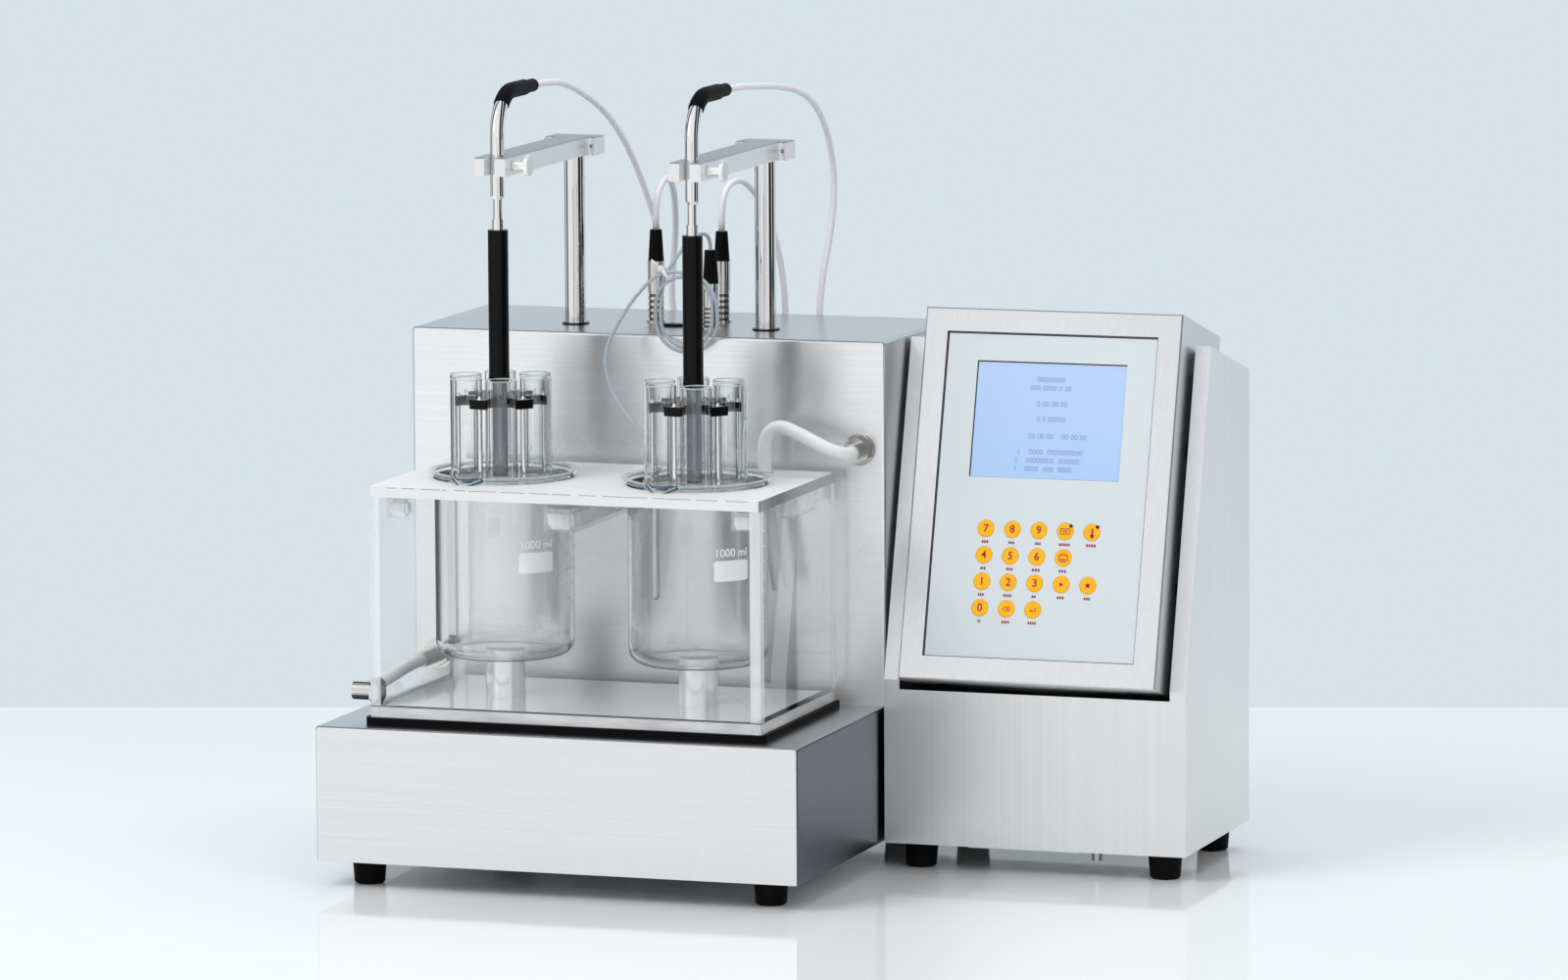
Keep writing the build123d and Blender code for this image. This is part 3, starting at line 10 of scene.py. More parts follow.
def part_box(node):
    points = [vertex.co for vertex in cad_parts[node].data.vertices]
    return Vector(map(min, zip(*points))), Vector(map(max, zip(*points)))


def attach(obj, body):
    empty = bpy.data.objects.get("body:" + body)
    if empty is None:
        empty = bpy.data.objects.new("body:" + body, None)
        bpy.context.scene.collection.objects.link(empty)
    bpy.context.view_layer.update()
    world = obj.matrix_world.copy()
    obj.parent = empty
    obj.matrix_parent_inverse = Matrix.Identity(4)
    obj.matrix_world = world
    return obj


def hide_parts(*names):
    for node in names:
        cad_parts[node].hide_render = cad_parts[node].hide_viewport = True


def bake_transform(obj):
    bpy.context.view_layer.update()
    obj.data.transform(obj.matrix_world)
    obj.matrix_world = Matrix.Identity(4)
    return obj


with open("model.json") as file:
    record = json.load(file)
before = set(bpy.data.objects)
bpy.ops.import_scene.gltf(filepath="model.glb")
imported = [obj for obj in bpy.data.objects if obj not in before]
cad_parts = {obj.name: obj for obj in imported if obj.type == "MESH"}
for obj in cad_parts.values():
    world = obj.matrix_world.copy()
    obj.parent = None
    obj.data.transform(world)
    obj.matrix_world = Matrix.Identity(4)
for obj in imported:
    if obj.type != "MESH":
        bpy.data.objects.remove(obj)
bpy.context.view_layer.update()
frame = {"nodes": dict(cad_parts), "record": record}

# Looks of a tablet disintegration tester: steel housings, a clear bath with two beakers, two basket
# racks on their lifts, the keypad unit, and the cables and hoses between them.
# Places are given in millimetres from the lift unit's left side, its front and the floor.

MM = 0.001
RIGHT = Vector((1, 0, 0))
BACK = Vector((0, 1, 0))
UP = Vector((0, 0, 1))
nodes = frame["nodes"]
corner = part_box("base_housing")[0]
sides = ("left", "right")
beaker_x = {"left": 113.0, "right": 267.0}
beaker_centre_y = 107.0
spout_angle = -100.0

# The photograph's camera: place in metres, angles in degrees, lens in millimetres
camera_place = Vector((2.14051, -6.37957, 1.17822))
camera_yaw = math.radians(18.5725)
camera_pitch = math.radians(7.5336)
camera_roll = math.radians(-0.2995)
camera_lens = 206.81
camera_sensor = 36.0
camera_shift_x = 0.00113
camera_shift_y = -0.00066
image_width = 1600
image_height = 1000
floor_edge_row = 722
floor_edge_columns = (-700, 2300)
floor_depth = 12
lamp_target = Vector((0, 0, 0.25))


def at(x, y, z):
    """A place in the frame from millimetres off the lift unit's left side, its front and the floor."""
    return Vector((corner.x + x * MM, corner.y + y * MM, z * MM))


def centre_of(node):
    """The middle of a node's box."""
    low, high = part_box(node)
    return (low + high) / 2


def toward(angle):
    """The level direction at an angle in radians from the right, counted towards the back."""
    return Vector((math.cos(angle), math.sin(angle), 0))


def in_scene(name, data):
    """An object of the scene that holds some data."""
    made = bpy.data.objects.new(name, data)
    bpy.context.scene.collection.objects.link(made)
    return made


# Materials

class Shading:
    """A shader tree with helpers that add its nodes."""

    def __init__(self, tree):
        self.tree = tree

    def link(self, source, target):
        self.tree.links.new(source, target)

    def node(self, kind, inputs=None, **settings):
        """A new node with its settings, and a value or another node's output for each input named."""
        made = self.tree.nodes.new(kind)
        for key, value in settings.items():
            setattr(made, key, value)
        for key, value in (inputs or {}).items():
            if isinstance(value, (int, float, tuple, list)):
                made.inputs[key].default_value = value
            else:
                self.link(value, made.inputs[key])
        return made

    def computed(self, operation, *values):
        """The result of an operation on numbers or outputs."""
        return self.node("ShaderNodeMath", dict(enumerate(values)), operation=operation).outputs[0]

    def remap(self, factor, low, high, start=0.3, end=0.7, **settings):
        """A factor spread between two values."""
        inputs = {"Value": factor, "From Min": start, "From Max": end, "To Min": low, "To Max": high}
        return self.node("ShaderNodeMapRange", inputs, **settings).outputs["Result"]

    def mix(self, factor, one, other):
        """A colour between two colours or outputs."""
        ends = [(*value, 1) if isinstance(value, (tuple, list)) else value for value in (one, other)]
        inputs = {"Factor": factor, "A": ends[0], "B": ends[1]}
        return self.node("ShaderNodeMix", inputs, data_type="RGBA").outputs["Result"]


class Surface(Shading):
    """A material on the Principled shader with helpers for procedural detail."""

    def __init__(self, name, color, roughness, metallic=0.0, **inputs):
        self.material = bpy.data.materials.new(name)
        self.material.use_nodes = True
        super().__init__(self.material.node_tree)
        self.color = color
        self.inputs = self.tree.nodes["Principled BSDF"].inputs
        self.inputs["Base Color"].default_value = (*color, 1)
        self.inputs["Roughness"].default_value = roughness
        self.inputs["Metallic"].default_value = metallic
        for key, value in inputs.items():
            self.inputs[key.replace("_", " ")].default_value = value

    def noise(self, scale, detail=2.0, stretch=(1, 1, 1), roughness=0.5):
        """Noise in the frame's own place, drawn out along the axes with a small stretch value."""
        place = self.node("ShaderNodeTexCoord").outputs["Object"]
        stretched = self.node("ShaderNodeMapping", {"Vector": place, "Scale": stretch}).outputs["Vector"]
        inputs = {"Vector": stretched, "Scale": scale, "Detail": detail, "Roughness": roughness}
        return self.node("ShaderNodeTexNoise", inputs).outputs["Fac"]

    def rise(self):
        """The height in the frame, in metres."""
        place = self.node("ShaderNodeTexCoord").outputs["Object"]
        return self.node("ShaderNodeSeparateXYZ", {"Vector": place}).outputs["Z"]

    def rough(self, factor, low, high):
        """Roughness that varies over the surface."""
        self.link(self.remap(factor, low, high), self.inputs["Roughness"])

    def tint(self, factor, other, start=0.3, end=0.7):
        """The base colour mixed with another one by a factor."""
        share = self.remap(factor, 0.0, 1.0, start, end)
        self.link(self.mix(share, self.color, other), self.inputs["Base Color"])

    def shadowless(self, alpha, share=0.9):
        """Lets most light through to what stands behind, where a shadow would fall."""
        shadow = self.node("ShaderNodeLightPath").outputs["Is Shadow Ray"]
        through = self.computed("MULTIPLY_ADD", shadow, -share, 1.0)
        self.link(self.computed("MULTIPLY", through, alpha), self.inputs["Alpha"])

    def bump(self, factor, depth):
        """Relief of a depth in millimetres."""
        relief = self.node("ShaderNodeBump", {"Strength": 1.0, "Distance": depth * MM, "Height": factor})
        self.link(relief.outputs["Normal"], self.inputs["Normal"])


def brushed(name, color, roughness, grain, anisotropy, turn, around="Z"):
    """Steel sheet brushed along one axis: long fine grain, broader pale streaks, soft wear."""
    made = Surface(name, color, roughness, 1.0, Anisotropic=anisotropy, Anisotropic_Rotation=turn)
    tangent = made.node("ShaderNodeTangent", direction_type="RADIAL", axis=around)
    made.link(tangent.outputs["Tangent"], made.inputs["Tangent"])
    along = [1.0, 1.0, 1.0]
    along["xyz".index(grain)] = 0.003
    fine = made.noise(2600, 2.0, along, 0.6)
    broad = made.noise(420, 4.0, along, 0.65)
    cloud = made.noise(5, 2.0)
    made.tint(broad, [shade * 0.90 for shade in color], 0.25, 0.85)
    made.rough(cloud, roughness * 0.9, roughness * 1.1)
    made.bump(fine, 0.0008)
    return made


def plain(name, color, roughness, metallic, grain, relief, mottle, **inputs):
    """A smooth surface with a slight mottle in its colour, gloss and relief."""
    made = Surface(name, color, roughness, metallic, **inputs)
    broad = made.noise(18, 3.0)
    fine = made.noise(grain, 4.0)
    made.tint(broad, [shade * mottle for shade in color])
    made.rough(fine if relief else broad, roughness * 0.9, roughness * 1.1)
    if relief:
        made.bump(fine, relief)
    return made


def glass(name, color, index):
    """Clear glass with faint streaks; it hardly shades what stands behind it."""
    made = Surface(name, color, 0.0, 0.0, IOR=index, Transmission_Weight=1.0)
    made.tint(made.noise(24, 3.0, (1, 1, 0.15)), [shade * 0.99 for shade in color])
    made.shadowless(1.0)
    return made


def sheet_gloss(name, color, least, most, power=4.0, roughness=0.02):
    """Clear sheet seen straight through, with a mirror gloss that grows at a slant."""
    made = Surface(name, color, roughness, 1.0)
    slant = made.node("ShaderNodeLayerWeight", {"Blend": 0.5}).outputs["Facing"]
    grown = made.computed("POWER", slant, power)
    made.tint(made.noise(12, 3.0), [shade * 0.98 for shade in color])
    made.shadowless(made.remap(grown, least, most, 0.0, 1.0))
    return made


def frosted(name, color, low, high, stretch=(1, 1, 1), roughness=0.12):
    """Milky acrylic, as at a cut or cemented edge: brighter and denser in streaks."""
    made = Surface(name, color, roughness, 0.0)
    streaks = made.noise(60, 3.0, stretch, 0.6)
    made.tint(made.noise(25, 3.0, stretch), [shade * 0.9 for shade in color])
    made.shadowless(made.remap(streaks, low, high))
    return made


def tower_steel():
    """The tower's front sheet, painted lighter than the other steel as painted light, and less of a mirror
    behind the bath, where the clear walls dim its reflections.
    """
    made = brushed("brushed_steel_tower_painted_light", (0.89, 0.895, 0.90), 0.27, "x", 0.8, 0.25)
    dimmed = 0.5
    dimmed_heights = (0.24, 0.32)
    made.link(made.remap(made.rise(), dimmed, 1.0, *dimmed_heights), made.inputs["Metallic"])
    return made


def display_surface():
    """The lit panel: pale violet blue at its top, bluer below, with a faint grain."""
    made = Surface("display", (0.52, 0.63, 0.90), 0.25, 0.0, Coat_Weight=0.2, Coat_Roughness=0.05,
                   Emission_Strength=0.08)
    low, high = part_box("display_window")
    share = made.remap(made.rise(), 0.0, 1.0, low.z, high.z)
    lit = made.mix(share, (0.37, 0.54, 0.82), (0.42, 0.56, 0.80))
    made.link(lit, made.inputs["Base Color"])
    made.link(lit, made.inputs["Emission Color"])
    made.bump(made.noise(900, 2.0), 0.004)
    return made


steel = (0.80, 0.805, 0.81)
surfaces = {
    "tower_steel": tower_steel(),
    "brushed_steel": brushed("brushed_steel_level", steel, 0.27, "x", 0.8, 0.25),
    "steel_upright": brushed("brushed_steel_upright", steel, 0.30, "z", 0.7, 0.0),
    "steel_side": brushed("brushed_steel_side", (0.82, 0.825, 0.835), 0.34, "z", 0.6, 0.0),
    # Painted shade: a darker copy of the brushed steel for the housings' faces that look up
    "steel_painted_shade_top": brushed("brushed_steel_painted_shade_top", (0.56, 0.575, 0.60), 0.26, "x", 0.6, 0.25, "X"),
    # Painted shade: a very dark copy of the brushed steel for the base's right side
    "steel_painted_shade_side": brushed("brushed_steel_painted_shade_side", (0.13, 0.14, 0.16), 0.30, "y", 0.6, 0.25),
    # Painted light: a near-white copy of the brushed steel for the control housing's right side
    "steel_painted_light_side": brushed("brushed_steel_painted_light_side", (0.97, 0.965, 0.96), 0.45, "z", 0.3, 0.0),
    "plain_steel": brushed("plain_steel", (0.62, 0.625, 0.63), 0.4, "x", 0.3, 0.25),
    "black_rubber": plain("black_rubber", (0.006, 0.006, 0.007), 0.5, 0.0, 1200, 0.01, 0.7,
                          Specular_IOR_Level=0.05),
    "black_plastic": plain("black_plastic", (0.003, 0.003, 0.0035), 0.22, 0.0, 900, 0.002, 0.8,
                           Specular_IOR_Level=0.14),
    "white_acrylic": plain("white_acrylic", (0.76, 0.775, 0.775), 0.42, 0.0, 200, 0.0, 0.985,
                           Specular_IOR_Level=0.3),
    "silicone": plain("silicone", (0.80, 0.825, 0.825), 0.25, 0.0, 300, 0.0, 0.95, IOR=1.4),
    "glass": glass("glass", (0.99, 0.998, 1.0), 1.47),
    "clear_inner": glass("clear_inner", (1.0, 1.0, 1.0), 1.0),
    "water": glass("water", (1.0, 1.0, 1.0), 1.33),
    "acrylic": sheet_gloss("acrylic", (0.95, 0.97, 0.98), 0.05, 0.75),
    "display": display_surface(),
}
# Plain surfaces: colour, roughness, metallic, grain, relief in millimetres, and the mottle's dark share
plain_surfaces = {
    "chrome": ((0.86, 0.865, 0.87), 0.04, 1.0, 500, 0.0, 0.98),
    "ground_steel": ((0.80, 0.805, 0.81), 0.08, 1.0, 900, 0.0, 0.96),
    "probe_steel": ((0.42, 0.44, 0.47), 0.15, 1.0, 700, 0.0, 0.92),
    "shaft_steel": ((0.15, 0.17, 0.20), 0.10, 1.0, 700, 0.0, 0.92),
    "nickel": ((0.70, 0.685, 0.66), 0.14, 1.0, 700, 0.001, 0.92),
    # Painted shade: a dark copy of the nickel for the plugs' grooves and the fittings' flats
    "nickel_shade": ((0.16, 0.155, 0.15), 0.25, 1.0, 700, 0.001, 0.92),
    "knob_nickel": ((0.93, 0.925, 0.91), 0.22, 0.6, 700, 0.001, 0.92),
    "gold": ((0.75, 0.55, 0.20), 0.2, 1.0, 500, 0.002, 0.95),
    "aluminium": ((0.80, 0.80, 0.805), 0.34, 0.6, 1500, 0.004, 0.96),
    # Painted shade: a darker copy of the aluminium for the arms' faces that look up
    "aluminium_top": ((0.37, 0.40, 0.44), 0.34, 0.8, 1500, 0.004, 0.96),
    "acrylic_floor": ((0.74, 0.77, 0.79), 0.08, 0.6, 200, 0.0, 0.97),
    "acrylic_post": ((0.86, 0.88, 0.89), 0.10, 0.35, 120, 0.0, 0.8),
    # Painted shade: a dark grey copy of the lid's white for its faces that look right
    "lid_side": ((0.30, 0.315, 0.325), 0.12, 0.3, 200, 0.0, 0.9),
    "joint_grey": ((0.16, 0.18, 0.20), 0.3, 0.0, 400, 0.0, 0.9),
    "cable_grey": ((0.78, 0.80, 0.83), 0.34, 0.0, 250, 0.0, 0.96),
    "sensor_grey": ((0.40, 0.46, 0.52), 0.38, 0.0, 400, 0.0, 0.92),
    "tie_white": ((0.82, 0.84, 0.86), 0.35, 0.0, 400, 0.01, 0.95),
    "keypad_foil": ((0.64, 0.70, 0.72), 0.42, 0.0, 1600, 0.01, 0.985),
    "key_amber": ((1.0, 0.46, 0.0), 0.42, 0.0, 1600, 0.01, 0.97),
    "ink_crimson": ((0.30, 0.004, 0.06), 0.5, 0.0, 900, 0.004, 0.9),
    "ink_display": ((0.24, 0.33, 0.66), 0.5, 0.0, 900, 0.004, 0.9),
    "ink_black": ((0.01, 0.01, 0.012), 0.4, 0.0, 900, 0.004, 0.9),
    "enamel_white": ((0.86, 0.88, 0.90), 0.4, 0.0, 700, 0.01, 0.96),
    "motor_black": ((0.04, 0.04, 0.045), 0.4, 0.2, 500, 0.02, 0.8),
    "board_green": ((0.03, 0.18, 0.08), 0.4, 0.0, 300, 0.02, 0.8),
}
# Milky edges: colour, least and most density, how the streaks are drawn out, and roughness
frosted_surfaces = {
    "acrylic_edge": ((0.90, 0.925, 0.94), 0.30, 0.62, (1, 1, 0.05)),
    "acrylic_rim": ((0.93, 0.95, 0.96), 0.45, 0.9, (0.2, 0.2, 1)),
    "acrylic_block": ((0.96, 0.975, 0.98), 0.35, 0.85, (1, 1, 0.08)),
    "plate_clear": ((0.86, 0.89, 0.90), 0.2, 0.5),
    "rim_bead": ((0.66, 0.73, 0.75), 0.35, 0.8, (1, 1, 1), 0.05),
    "glass_rim": ((0.50, 0.57, 0.59), 0.15, 0.55),
    "glass_lip": ((0.02, 0.11, 0.16), 0.8, 1.0),
}
for build, rows in ((plain, plain_surfaces), (frosted, frosted_surfaces)):
    for name, values in rows.items():
        surfaces[name] = build(name, *values)


def paint(piece, surface, test=None):
    """Gives a piece's faces a surface; with a test of a face's centre and normal, only those that pass."""
    slots = piece.data.materials
    if test is None:
        slots.clear()
        slots.append(surfaces[surface].material)
        return
    slots.append(surfaces[surface].material)
    index = len(slots) - 1
    for face in piece.data.polygons:
        if test(face.center, face.normal):
            face.material_index = index


edge_share = 0.7


def facing(direction):
    """A test for the faces that look along a direction."""
    return lambda centre, normal: normal.dot(direction) > edge_share


# The CAD pieces, by the record's slots, and then face by face where one piece has several finishes, or
# painted light and shade on its tops, sides and gaps

for row in frame["record"]["subparts"]:
    paint(nodes[row["node"]], row["material_slot"])

sleeve_end = 374 * MM
boot_start = 560 * MM
tube_rim_band = 0.6 * MM
for name in ("base_housing", "tower_housing", "control_housing", "head_housing"):
    # Painted shade on the faces that look up
    paint(nodes[name], "steel_painted_shade_top", facing(UP))
    paint(nodes[name], "steel_side", lambda centre, normal: abs(normal.x) > edge_share)
# Painted light: the tower's front faces take the lighter copy of the steel
paint(nodes["tower_housing"], "tower_steel", facing(-BACK))
# Painted shade on the base's faces that look right
paint(nodes["base_housing"], "steel_painted_shade_side", facing(RIGHT))
for name in ("control_housing", "head_housing"):
    paint(nodes[name], "steel_upright", facing(-BACK))
for side in sides:
    plates_low, plates_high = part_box(f"basket_plates_{side}")
    plates_middle = (plates_low.z + plates_high.z) / 2
    paint(nodes[f"basket_plates_{side}"], "plate_clear", lambda centre, normal: centre.z < plates_middle)
    tube_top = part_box(f"basket_tubes_{side}")[1].z
    paint(nodes[f"basket_tubes_{side}"], "glass_rim",
          lambda centre, normal: centre.z > tube_top - tube_rim_band)
    paint(nodes[f"hanger_sleeves_{side}"], "black_rubber", lambda centre, normal: centre.z > boot_start)
    paint(nodes[f"hanger_sleeves_{side}"], "shaft_steel",
          lambda centre, normal: centre.z < sleeve_end and abs(normal.z) < edge_share)
    # Painted shade on the arms' faces that look up
    paint(nodes[f"lift_arm_{side}"], "aluminium_top", facing(UP))
    paint(nodes[f"arm_knob_{side}"], "knob_nickel", lambda centre, normal: True)
    paint(nodes[f"arm_knob_{side}"], "nickel", facing(RIGHT))
# Painted light on the control housing's faces that look right
paint(nodes["control_housing"], "steel_painted_light_side", facing(RIGHT))
lid_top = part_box("bath_lid")[1].z
# Painted shade on the lid's faces that look right
paint(nodes["bath_lid"], "lid_side", facing(RIGHT))
paint(nodes["temperature_probe"], "probe_steel", lambda centre, normal: centre.z < lid_top)
probe_axis = at(226, 126, 0)
clip_bottom = lid_top + 4 * MM
clip_core = 3.6 * MM
paint(nodes["temperature_probe"], "white_acrylic", lambda centre, normal: clip_bottom < centre.z)
paint(nodes["temperature_probe"], "black_plastic",
      lambda centre, normal: clip_bottom < centre.z and (centre - probe_axis).xy.length < clip_core)

# Painted shade: the faces in the clearance between the head and the flanges at its two sides are painted
# black
painted_shade_gaps = ((395.6, 400.9), (602.9, 606.6))
for name in ("control_housing", "head_housing"):
    for low, high in painted_shade_gaps:
        gap_low, gap_high = at(low, 0, 0).x, at(high, 0, 0).x
        paint(nodes[name], "black_rubber", lambda centre, normal: gap_low < centre.x < gap_high)

# Beakers: bright flared rims, and the blue edge of each spout's lip
spout_direction = toward(math.radians(spout_angle))
rim_band = 3.2 * MM
spout_start = 54 * MM
lip_start = 55 * MM
lip_slope = 0.2
for side, x in beaker_x.items():
    beaker = nodes[f"beaker_{side}"]
    beaker_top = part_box(f"beaker_{side}")[1].z
    beaker_axis = at(x, beaker_centre_y, 0)
    paint(beaker, "glass_rim", lambda centre, normal: centre.z > beaker_top - rim_band)
    paint(beaker, "glass_rim",
          lambda centre, normal: (centre - beaker_axis).dot(spout_direction) > spout_start)
    paint(beaker, "glass_lip",
          lambda centre, normal: (centre - beaker_axis).dot(spout_direction) > lip_start
          and normal.z < lip_slope and normal.dot(spout_direction) > 0)

# Bath: its floor, the clear inner faces of its walls, and the two pedestals
bath_floor_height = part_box("water_bath")[0].z + 8 * MM
near = 0.5 * MM
wall_start = bath_floor_height + MM
wall_slope = 0.3
paint(nodes["water_bath"], "acrylic_floor",
      lambda centre, normal: normal.z > edge_share and abs(centre.z - bath_floor_height) < near)
inner_walls = ((at(44, 0, 0).x, at(336, 0, 0).x), (at(0, 32, 0).y, at(0, 191, 0).y))
paint(nodes["water_bath"], "clear_inner",
      lambda centre, normal: abs(normal.z) < wall_slope and centre.z > wall_start
      and (min(abs(centre.x - plane) for plane in inner_walls[0]) < near
           or min(abs(centre.y - plane) for plane in inner_walls[1]) < near))
pedestal_reach = 15.5 * MM
pedestal_low = bath_floor_height + 0.1 * MM
pedestal_high = bath_floor_height + 31 * MM - 0.1 * MM
for x in beaker_x.values():
    pedestal_axis = at(x, beaker_centre_y, 0)
    paint(nodes["water_bath"], "acrylic_post",
          lambda centre, normal: pedestal_low < centre.z < pedestal_high
          and (centre - pedestal_axis).xy.length < pedestal_reach)

# Cable plugs: black boots over the joint of each plug, and painted shade in the grooves between its ribs
plug_reach = 8 * MM
groove_reach = 5.8 * MM
joint_margin = 0.05 * MM
plug_joints = ((168.6, 297.3, 446.0), (217.2, 311.1, 446.0), (224.0, 264.8, 433.6))
for x, y, joint in plug_joints:
    axis_place = at(x, y, joint)
    paint(nodes["cable_plugs"], "black_rubber",
          lambda centre, normal: centre.z > axis_place.z - joint_margin
          and (centre - axis_place).xy.length < plug_reach)
    paint(nodes["cable_plugs"], "nickel_shade",
          lambda centre, normal: centre.z < axis_place.z
          and (centre - axis_place).xy.length < groove_reach)

# Hose fittings: painted shade on the flats of the nuts that face right and down
shade_share = 0.4
paint(nodes["hose_fittings"], "nickel_shade",
      lambda centre, normal: normal.x > shade_share or normal.z < -shade_share)


# Shapes

def piece_of(name, shape, surface, body="tester"):
    """A mesh, or several as one, as a piece that rides on a body."""
    made = in_scene(name, joined(name, shape) if isinstance(shape, list) else shape)
    made.data.materials.append(surfaces[surface].material)
    if body:
        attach(made, body)
    return made


def mesh_from(name, shape, smooth=False):
    """A mesh from a bmesh, with clean normals."""
    bmesh.ops.recalc_face_normals(shape, faces=shape.faces)
    mesh = bpy.data.meshes.new(name)
    shape.to_mesh(mesh)
    shape.free()
    for face in mesh.polygons:
        face.use_smooth = smooth
    return mesh


def turned_mesh(name, outline, place, axis, segments=32):
    """A form turned about an axis through a place, from pairs of radius and height in millimetres."""
    shape = bmesh.new()
    turn = axis.to_track_quat("Z", "Y").to_matrix()
    rings = []
    for radius, height in outline:
        if radius == 0:
            rings.append([shape.verts.new(place + turn @ Vector((0, 0, height * MM)))])
            continue
        ring = []
        for step in range(segments):
            angle = 2 * math.pi * step / segments
            spot = Vector((radius * math.cos(angle), radius * math.sin(angle), height)) * MM
            ring.append(shape.verts.new(place + turn @ spot))
        rings.append(ring)
    for one, other in zip(rings, rings[1:]):
        for step in range(segments):
            after = (step + 1) % segments
            if len(one) == 1 and len(other) == 1:
                continue
            if len(one) == 1:
                shape.faces.new((one[0], other[after], other[step]))
            elif len(other) == 1:
                shape.faces.new((one[step], one[after], other[0]))
            else:
                shape.faces.new((one[step], one[after], other[after], other[step]))
    return mesh_from(name, shape, True)


def plate_mesh(name, outline, thickness, matrix):
    """A flat plate from an outline in millimetres, laid by a matrix."""
    shape = bmesh.new()
    low = [shape.verts.new(matrix @ Vector((x * MM, y * MM, 0))) for x, y in outline]
    high = [shape.verts.new(matrix @ Vector((x * MM, y * MM, thickness * MM))) for x, y in outline]
    shape.faces.new(list(reversed(low)))
    shape.faces.new(high)
    for step in range(len(outline)):
        after = (step + 1) % len(outline)
        shape.faces.new((low[step], low[after], high[after], high[step]))
    return mesh_from(name, shape)


def circle_outline(x, y, radius, steps=24):
    """The corners of a round outline."""
    angles = [2 * math.pi * step / steps for step in range(steps)]
    return [(x + radius * math.cos(angle), y + radius * math.sin(angle)) for angle in angles]


def rectangle(x, y, width, height):
    """The corners of a rectangle about its middle."""
    return [(x - width / 2, y - height / 2), (x + width / 2, y - height / 2),
            (x + width / 2, y + height / 2), (x - width / 2, y + height / 2)]


def joined(name, meshes):
    """Several meshes as one."""
    shape = bmesh.new()
    for mesh in meshes:
        shape.from_mesh(mesh)
        bpy.data.meshes.remove(mesh)
    mesh = bpy.data.meshes.new(name)
    shape.to_mesh(mesh)
    shape.free()
    return mesh


# Camera, and the floor that ends where the photograph's does

camera_data = bpy.data.cameras.new("camera")
camera_data.lens = camera_lens
camera_data.sensor_width = camera_sensor
camera_data.shift_x = camera_shift_x
camera_data.shift_y = camera_shift_y
camera_data.clip_end = 60
camera = in_scene("camera", camera_data)
forward = Vector((-math.sin(camera_yaw) * math.cos(camera_pitch),
                  math.cos(camera_yaw) * math.cos(camera_pitch), -math.sin(camera_pitch)))
level_right = toward(camera_yaw)
level_up = level_right.cross(forward)
image_right = level_right * math.cos(camera_roll) + level_up * math.sin(camera_roll)
image_up = level_up * math.cos(camera_roll) - level_right * math.sin(camera_roll)
camera_turn = Matrix((image_right, image_up, -forward)).transposed()
camera.matrix_world = Matrix.Translation(camera_place) @ camera_turn.to_4x4()
bpy.context.scene.camera = camera


def floor_place(column, row):
    """Where a pixel of the photograph meets the floor."""
    focal = camera_lens / camera_sensor * image_width
    across = (column - image_width / 2) / focal + camera_shift_x * image_width / focal
    rise = (image_height / 2 - row) / focal + camera_shift_y * image_width / focal
    ray = forward + image_right * across + image_up * rise
    return camera_place + ray * (-camera_place.z / ray.z)


def studio_floor():
    """A pale glossy floor whose far edge lies on the photograph's line."""
    made = Surface("floor", (0.86, 0.885, 0.90), 0.06, 0.0, IOR=1.35)
    made.rough(made.noise(2, 2.0), 0.05, 0.09)
    made.tint(made.noise(1.2, 2.0), (0.84, 0.87, 0.885))
    far = [floor_place(column, floor_edge_row) for column in floor_edge_columns]
    nearer = (forward * Vector((1, 1, 0))).normalized() * -floor_depth
    mesh = bpy.data.meshes.new("floor")
    mesh.from_pydata([*far, far[1] + nearer, far[0] + nearer], [], [(0, 3, 2, 1)])
    mesh.materials.append(made.material)
    floor = in_scene("floor", mesh)


studio_floor()


# Studio: a world that metal and glass see, an even ambient light, and soft lamps

backdrop = (0.672, 0.762, 0.805)
front_light = (0.93, 0.95, 0.97)
front_light_span = (0.15, -0.35)
ambient = 0.52
# Panels that metal and glass see: start and end in radians from the front, heights, brightness
studio_panels = (
    (-2.60, -2.05, -0.3, 1.1, 0.05),
    (-1.60, -1.18, -0.3, 1.1, 0.10),
    (-0.95, -0.50, 0.12, 0.75, 1.40),
    (0.95, 1.50, -0.3, 1.1, 0.03),
    (1.64, 2.15, -0.3, 1.1, 0.04),
)
panel_blur = 0.04


